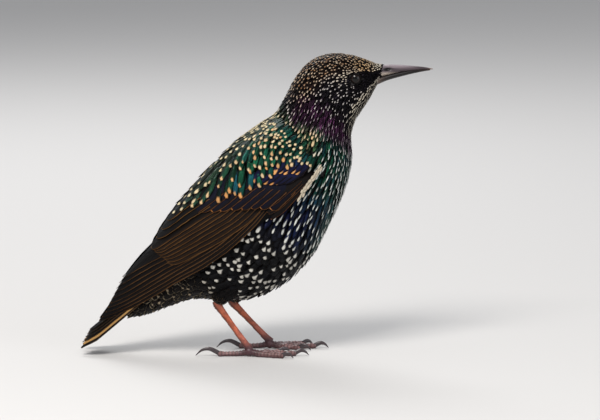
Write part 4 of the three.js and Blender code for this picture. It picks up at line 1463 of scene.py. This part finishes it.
def lower_tints(x, z):
    """Brown-black, paler at its root and a little at its tip."""
    return layered(blend("3f302b", "100b0b", ramp(x, 66, 74)), [
        ("a8988a", 0.6 * ramp(x, 70, 65) * ramp(z, 133.2, 135.0)),
        ("3d2a22", 0.6 * ramp(x, 86, 92)),
    ])


for word, table, tints in (("upper", BILL_UPPER, upper_tints), ("lower", BILL_LOWER, lower_tints)):
    points, faces = loft(table, BILL_RINGS, BILL_SIDES, 0.0, 0.2, 0.4)
    x, z = points[:, 0], points[:, 2]
    if word == "upper":
        slit, hollow = nostril(x, z)
        points[:, 1] *= 1 - 0.2 * hollow - 0.3 * slit
    add_piece(f"bill_{word}_horn", points, faces, horn, "bill", {"tint": with_alpha(tints(x, z))},
              replaced=(f"bill_{word}",))

# %% [markdown]
# Eyes
#
# The eye is nearly black, brown only at its very rim, and wet. Its life comes from one clear reflection
# and from the ring of bare skin that sits tight round it, so the ball has a hard clear coat and the
# lids are a narrow wrinkled ring that laps over its edge. A texture of a pupil isn't needed: the brown
# rim is stored at the ball's points, by their angle from the outer pole.

# %% Materials of the eyes
eye_material, tree, shader = material_named("wet eye")
feed(shader, {
    "Base Color": attribute(tree, "tint")["Color"],
    "Roughness": 0.12,
    "Specular IOR Level": 0.05,
    "Coat Weight": 0.5,
    "Coat Roughness": 0.03,
})
lid_material, tree, shader = material_named("lid skin")
lid_grain = grained(tree, 2200.0, 1.0)
feed(shader, {
    "Base Color": mix_node(tree, lid_grain["Blotch"], "020202", "0b0809"),
    "Roughness": 0.7,
    "Specular IOR Level": 0.1,
    "Normal": relief(tree, lid_grain["Height"], 0.5, 0.0003),
})
print("materials:", eye_material.name, "and", lid_material.name)

# %% Balls
POLE_GAP = 0.03


def ball(middle, radius, rings, sides, side):
    """A ball whose poles lie along Y: points, faces and each point's angle from the outer pole."""
    theta = np.linspace(POLE_GAP, math.pi - POLE_GAP, rings)
    phi = np.arange(sides) * math.tau / sides
    ring, height = np.sin(theta)[:, None], np.cos(theta)[:, None]
    grid = np.stack([ring * np.cos(phi), side * height + 0 * phi, ring * np.sin(phi)], -1)
    pole = np.array([0, side * radius, 0])
    points = np.vstack([grid.reshape(-1, 3) * radius + middle, middle + pole, middle - pole])
    angle = np.concatenate([np.repeat(theta, sides), [0, math.pi]])
    return points, closed_tube(rings, sides, side < 0), angle


print("a ball of 3 rings of 4 points has", len(ball(np.zeros(3), 1, 3, 4, 1)[0]), "points")

# %% The ring of lids
LID_HALVES = (2.5, 2.28)
LID_THICK = 0.32
LID_OUT = 2.25
LID_BEND = 0.25
LID_CORNERS = 0.09
LID_TURNS = 96
LID_SIDES = 14
WRINKLES = ((0.08, 21, 1.3), (0.06, 34, 0))


def lid_ring(middle, side):
    """A wrinkled ring round an eye, a little longer than high and bent with the ball."""
    turn = (np.arange(LID_TURNS) * math.tau / LID_TURNS)[:, None]
    around = np.arange(LID_SIDES) * math.tau / LID_SIDES
    first, second = (depth * np.sin(turn * rate + start) for depth, rate, start in WRINKLES)
    thick = LID_THICK * (1 + first + second)
    long_half = LID_HALVES[0] * (1 + LID_CORNERS * np.abs(np.cos(turn)) ** 6)
    return np.stack([
        middle[0] + (long_half + thick * np.cos(around)) * np.cos(turn),
        middle[1] + side * (LID_OUT - LID_BEND * np.cos(turn) ** 2 + 0.9 * thick * np.sin(around)),
        middle[2] + (LID_HALVES[1] + thick * np.cos(around)) * np.sin(turn),
    ], -1).reshape(-1, 3)


print("lids: %.1f mm long outside" % (2 * (LID_HALVES[0] * (1 + LID_CORNERS) + LID_THICK)))

# %% Eyeballs and lids
EYE_RADIUS = 3.1
EYE_RINGS = 48

for side, word in SIDES:
    middle = np.array([EYE_AT[0], side * EYE_AT[1], EYE_AT[2]])
    points, faces, angle = ball(middle, EYE_RADIUS, EYE_RINGS, EYE_RINGS, side)
    tint = blend(blend("010101", "160c08", ramp(angle, 0.42, 0.47)), "0a0605", ramp(angle, 0.75, 0.9))
    add_piece(f"eyeball_{word}", points, faces, eye_material, "eye", {"tint": with_alpha(tint)},
              replaced=(f"eye_{word}",))
    quads = tube_quads(LID_TURNS, LID_SIDES, closed=True)
    add_piece(f"lids_{word}", lid_ring(middle, side), quads[:, ::-side], lid_material, "plumage_head")

# %% [markdown]
# Legs
#
# The bare leg wears horny plates: a row of large ones down the front of the shin and a small one every
# millimetre or two along the top of each toe. Plates are steps in the shape, not only in the shading,
# so that they catch the light. The skin is salmon on the shins and darker and more purple on the toes.

# %% Bars along a path
def bar(points, radii, rings, sides, shape=None, squash=1.0):
    """A round bar through points. shape(t, angle) swells it."""
    points, radii = np.array(points, float), np.array(radii, float)[:, None]
    t = np.linspace(0, 1, rings)
    place = t * (len(points) - 1)
    middle, radius = between_rows(points, place), between_rows(radii, place)
    ahead = unit(between_rows(points, place + 0.02) - between_rows(points, place - 0.02))
    across = np.stack([-ahead[:, 1], ahead[:, 0], 0 * t], -1)
    across[np.linalg.norm(across, axis=-1) < 1e-3] = [0, 1, 0]
    across = unit(across)
    over = np.cross(ahead, across)
    angle = np.arange(sides) * math.tau / sides
    swell = radius * (shape(t[:, None], angle) if shape else np.ones(sides))
    grid = (middle[:, None] + across[:, None] * (squash * swell * np.cos(angle))[..., None]
            + over[:, None] * (swell * np.sin(angle))[..., None])
    end = middle[-1] + ahead[-1] * 0.3 * radius[-1]
    return np.vstack([grid.reshape(-1, 3), middle[0], end]), closed_tube(rings, sides, True)


def joined(forms):
    """Several forms as one."""
    starts = np.cumsum([0] + [len(points) for points, _ in forms])
    faces = [faces + start for (_, faces), start in zip(forms, starts)]
    return np.vstack([points for points, _ in forms]), np.vstack(faces)


print("a bar of 3 rings of 4 points has", len(bar([[0, 0, 0], [1, 0, 0]], [1, 1], 3, 4)[0]), "points")

# %% Scaled skin and claw horn
leg_material, tree, shader = material_named("scaled leg skin")
leg_grain = grained(tree, 1500.0, 0.8)
base = attribute(tree, "tint")["Color"]
blotched = smooth_node(tree, leg_grain["Blotch"], 0.42, 0.62)
feed(shader, {
    "Base Color": mix_node(tree, blotched, base, mix_node(tree, 0.5, base, "3a1a18")),
    "Roughness": 0.42,
    "Subsurface Weight": 0.08,
    "Subsurface Scale": 0.001,
    "Normal": relief(tree, leg_grain["Height"], 0.35),
})
claw_material, tree, shader = material_named("dark claw horn")
blotch = grained(tree, 2500.0, 0.6)["Blotch"]
feed(shader, {"Base Color": mix_node(tree, blotch, "151012", "55494c"), "Roughness": 0.3})
print("materials:", leg_material.name, "and", claw_material.name)

# %% Shins, toes and claws
SHIN_PLACES = (-0.04, 0.05, 0.18, 0.5, 0.86, 1.02)
SHIN_RADII = (1.5, 2.0, 1.7, 1.4, 1.6, 2.05)
SHIN_RINGS, SHIN_SIDES = 200, 28
SHIN_SQUASH = 0.82
SHIN_PLATES = 9
BALL_RADIUS = 2.3
TOE_HEIGHT = 1.1
TOE_RADIUS = 1.5
TOE_RINGS, TOE_SIDES = 130, 22
TOE_PLATE = 1.5
CLAW_RADII = (1.2, 1.0, 0.62, 0.14)
CLAW_RINGS, CLAW_SIDES = 40, 16
CLAW_SQUASH = 0.66
CLAW_TIP_HEIGHT = 0.42


def shin_plates(t, angle):
    """Steps down the front of the shin, which is fine-grained behind."""
    front, rear = np.clip(-np.sin(angle), 0, 1) ** 0.5, np.clip(np.sin(angle), 0, 1)
    saw = 1 - (t * SHIN_PLATES) % 1
    plated = ramp(t, 0.1, 0.16) * ramp(t, 0.97, 0.93)
    return 1 + front * plated * (0.13 * saw - 0.02) + 0.02 * np.sin(t * 190) * rear


def toe_pads(length, joints):
    """How a toe swells at its joints, with steps along its top."""

    def shape(t, angle):
        pads = sum(0.6 * hill(t, 0.9 - k * 0.72 / joints, 0.085) for k in range(joints))
        below, above = np.clip(-np.sin(angle), 0, 1), np.clip(np.sin(angle), 0, 1) ** 0.6
        saw = 1 - (t * int(length / TOE_PLATE)) % 1
        return 0.84 + pads * (0.55 + 0.45 * below) + above * (0.2 * saw - 0.03)

    return shape


def toe_and_claw(ball_at, side, heading, length, joints, claw):
    """One toe and its claw, as two bars that start under the ball of the foot."""
    turn = math.radians(heading) * -side
    ahead = np.array([math.cos(turn), math.sin(turn), 0])

    def run(*stations):
        return [ball_at * [1, 1, 0] + ahead * far + np.array([0, 0, height]) for far, height in stations]

    rise = claw * 0.2
    toe_run = run((-0.6, BALL_RADIUS), (length * 0.3, TOE_HEIGHT + 0.25), (length * 0.7, TOE_HEIGHT),
                  (length + 0.2, TOE_HEIGHT))
    claw_run = run((length - 0.5, TOE_HEIGHT + 0.25), (length + claw * 0.4, TOE_HEIGHT + 0.35 + rise),
                   (length + claw * 0.75, TOE_HEIGHT + rise * 0.85), (length + claw + 0.25, CLAW_TIP_HEIGHT))
    toe_radii = [2.0, TOE_RADIUS, TOE_RADIUS * 0.95, TOE_RADIUS * 0.8]
    return (bar(toe_run, toe_radii, TOE_RINGS, TOE_SIDES, toe_pads(length, joints)),
            bar(claw_run, CLAW_RADII, CLAW_RINGS, CLAW_SIDES, squash=CLAW_SQUASH))


print("plates on a shin:", SHIN_PLATES)

# %% Colours of the legs
CREASE_GAP = 1.7


def leg_tints(points, ankle, ball_at):
    """Salmon on the shin and darker on the toes, with creases across the toes, and painted shade on the back
    of the shin and under the toes.
    """
    height = points[:, 2]
    share = np.clip((height - ball_at[2]) / (ankle[2] - ball_at[2]), 0, 1)
    behind = ball_at[0] + (ankle[0] - ball_at[0]) * share - points[:, 0]
    reach = np.hypot(points[:, 0] - ball_at[0], points[:, 1] - ball_at[1])
    creases = (0.5 + 0.5 * np.cos(reach * math.tau / CREASE_GAP)) ** 3
    tint = layered("4c2d33", [("b0604c", ramp(height, 3.8, 8.5)), ("bd5c38", ramp(height, 8, 17)),
                              ("8c4834", ramp(height, 20, 25))])
    # Painted shade darkens the back of the shin.
    tint = blend(tint, 0.35 * tint, ramp(behind, 0.3, 1.7) * ramp(height, 4, 7))
    tint = blend(tint, "84605f", ramp(reach, 3, 9) * ramp(height, 4, 2.5))
    tint = blend(tint, 0.3 * tint, creases * ramp(reach, 2.5, 4) * ramp(height, 4, 2.5))
    # Painted shade under the toes, darker towards the floor.
    return blend(tint, "4a3236", ramp(height, 1.6, 0.2))


print("creases of the toes: every %.1f mm" % CREASE_GAP)

# %% Legs and feet, with the claws as pieces of their own
# each toe: name, heading in degrees, length, number of pads, length of claw
TOES = [("middle", 2, 22.5, 3, 6.4), ("inner", 22, 16.0, 2, 5.6), ("outer", -20, 17.5, 4, 5.2),
        ("hind", 180, 15.0, 1, 11.0)]
SOLE_RINGS, SOLE_SIDES = 24, 28


def stand(form):
    """A form with nothing of it under the floor."""
    points, faces = form
    points[:, 2] = np.maximum(points[:, 2], 0.0)
    return points, faces


for word, leg in LEGS.items():
    side = leg["side"]
    ankle, ball_at = (np.array(leg[key]) * [1, side, 1] for key in ("ankle", "toes"))
    shin = [ankle + (ball_at - ankle) * t for t in SHIN_PLACES]
    toes, claws = zip(*(toe_and_claw(ball_at, side, *facts) for _, *facts in TOES))
    shin = bar(shin, SHIN_RADII, SHIN_RINGS, SHIN_SIDES, shin_plates, SHIN_SQUASH)
    sole = ball(ball_at * [1, 1, 0] + [0, 0, BALL_RADIUS], BALL_RADIUS, SOLE_RINGS, SOLE_SIDES, 1)[:2]
    points, faces = stand(joined([shin, *toes, sole]))
    add_piece(f"leg_{word}", points, faces, leg_material, "leg",
              {"tint": with_alpha(leg_tints(points, ankle, ball_at))},
              replaced=(f"tarsus_{word}", f"foot_{word}"))
    for (toe, *_), claw in zip(TOES, claws):
        add_piece(f"nail_{word}_{toe}", *stand(claw), claw_material, "claw", replaced=(f"claw_{word}_{toe}",))

# %% [markdown]
# Floor and light
#
# A pale matt floor that runs to the horizon, and three large soft lamps: a key above and in front of
# the bird, a weaker fill from the camera's right, and a rim from behind that draws the outline of the
# back. Large lamps make the gloss of the feathers glow in patches and leave no hard shadows.

# %% Floor
FLOOR_HALF = 6.0

floor_mesh = bpy.data.meshes.new("floor")
corners = [(x * FLOOR_HALF, y * FLOOR_HALF, 0) for x, y in ((-1, -1), (1, -1), (1, 1), (-1, 1))]
floor_mesh.from_pydata(corners, [], [(0, 1, 2, 3)])
floor = bpy.data.objects.new("floor", floor_mesh)
bpy.context.collection.objects.link(floor)
floor_material, tree, shader = material_named("pale floor")
feed(shader, {"Base Color": (0.62, 0.61, 0.6), "Roughness": 0.9})
floor_mesh.materials.append(floor_material)
print("floor: %.0f m wide" % (2 * FLOOR_HALF))

# %% Lamps and the light of the room
LAMPS_AIM = (0, 0, 0.08)

world = bpy.data.worlds.new("room")
world.use_nodes = True
feed(world.node_tree.nodes["Background"], {"Color": (0.86, 0.88, 0.92), "Strength": 0.5})
bpy.context.scene.world = world


def lamp(name, place, size, power, tone=(1, 1, 1)):
    """A square lamp that shines at the bird. Places and sizes are in metres."""
    light = bpy.data.lights.new(name, "AREA")
    light.size = size
    light.energy = power
    light.color = tone
    holder = bpy.data.objects.new(name, light)
    holder.location = place
    holder.rotation_euler = (Vector(LAMPS_AIM) - Vector(place)).to_track_quat("-Z", "Y").to_euler()
    bpy.context.collection.objects.link(holder)


lamp("key", (-0.35, -0.75, 1.0), 0.45, 14, (1, 0.97, 0.93))
lamp("fill", (0.9, -0.7, 0.4), 0.8, 3, (0.93, 0.96, 1))
lamp("rim", (-0.2, 0.9, 0.9), 0.6, 7)
bpy.context.scene.view_settings.view_transform = "Standard"
print("lamps placed")
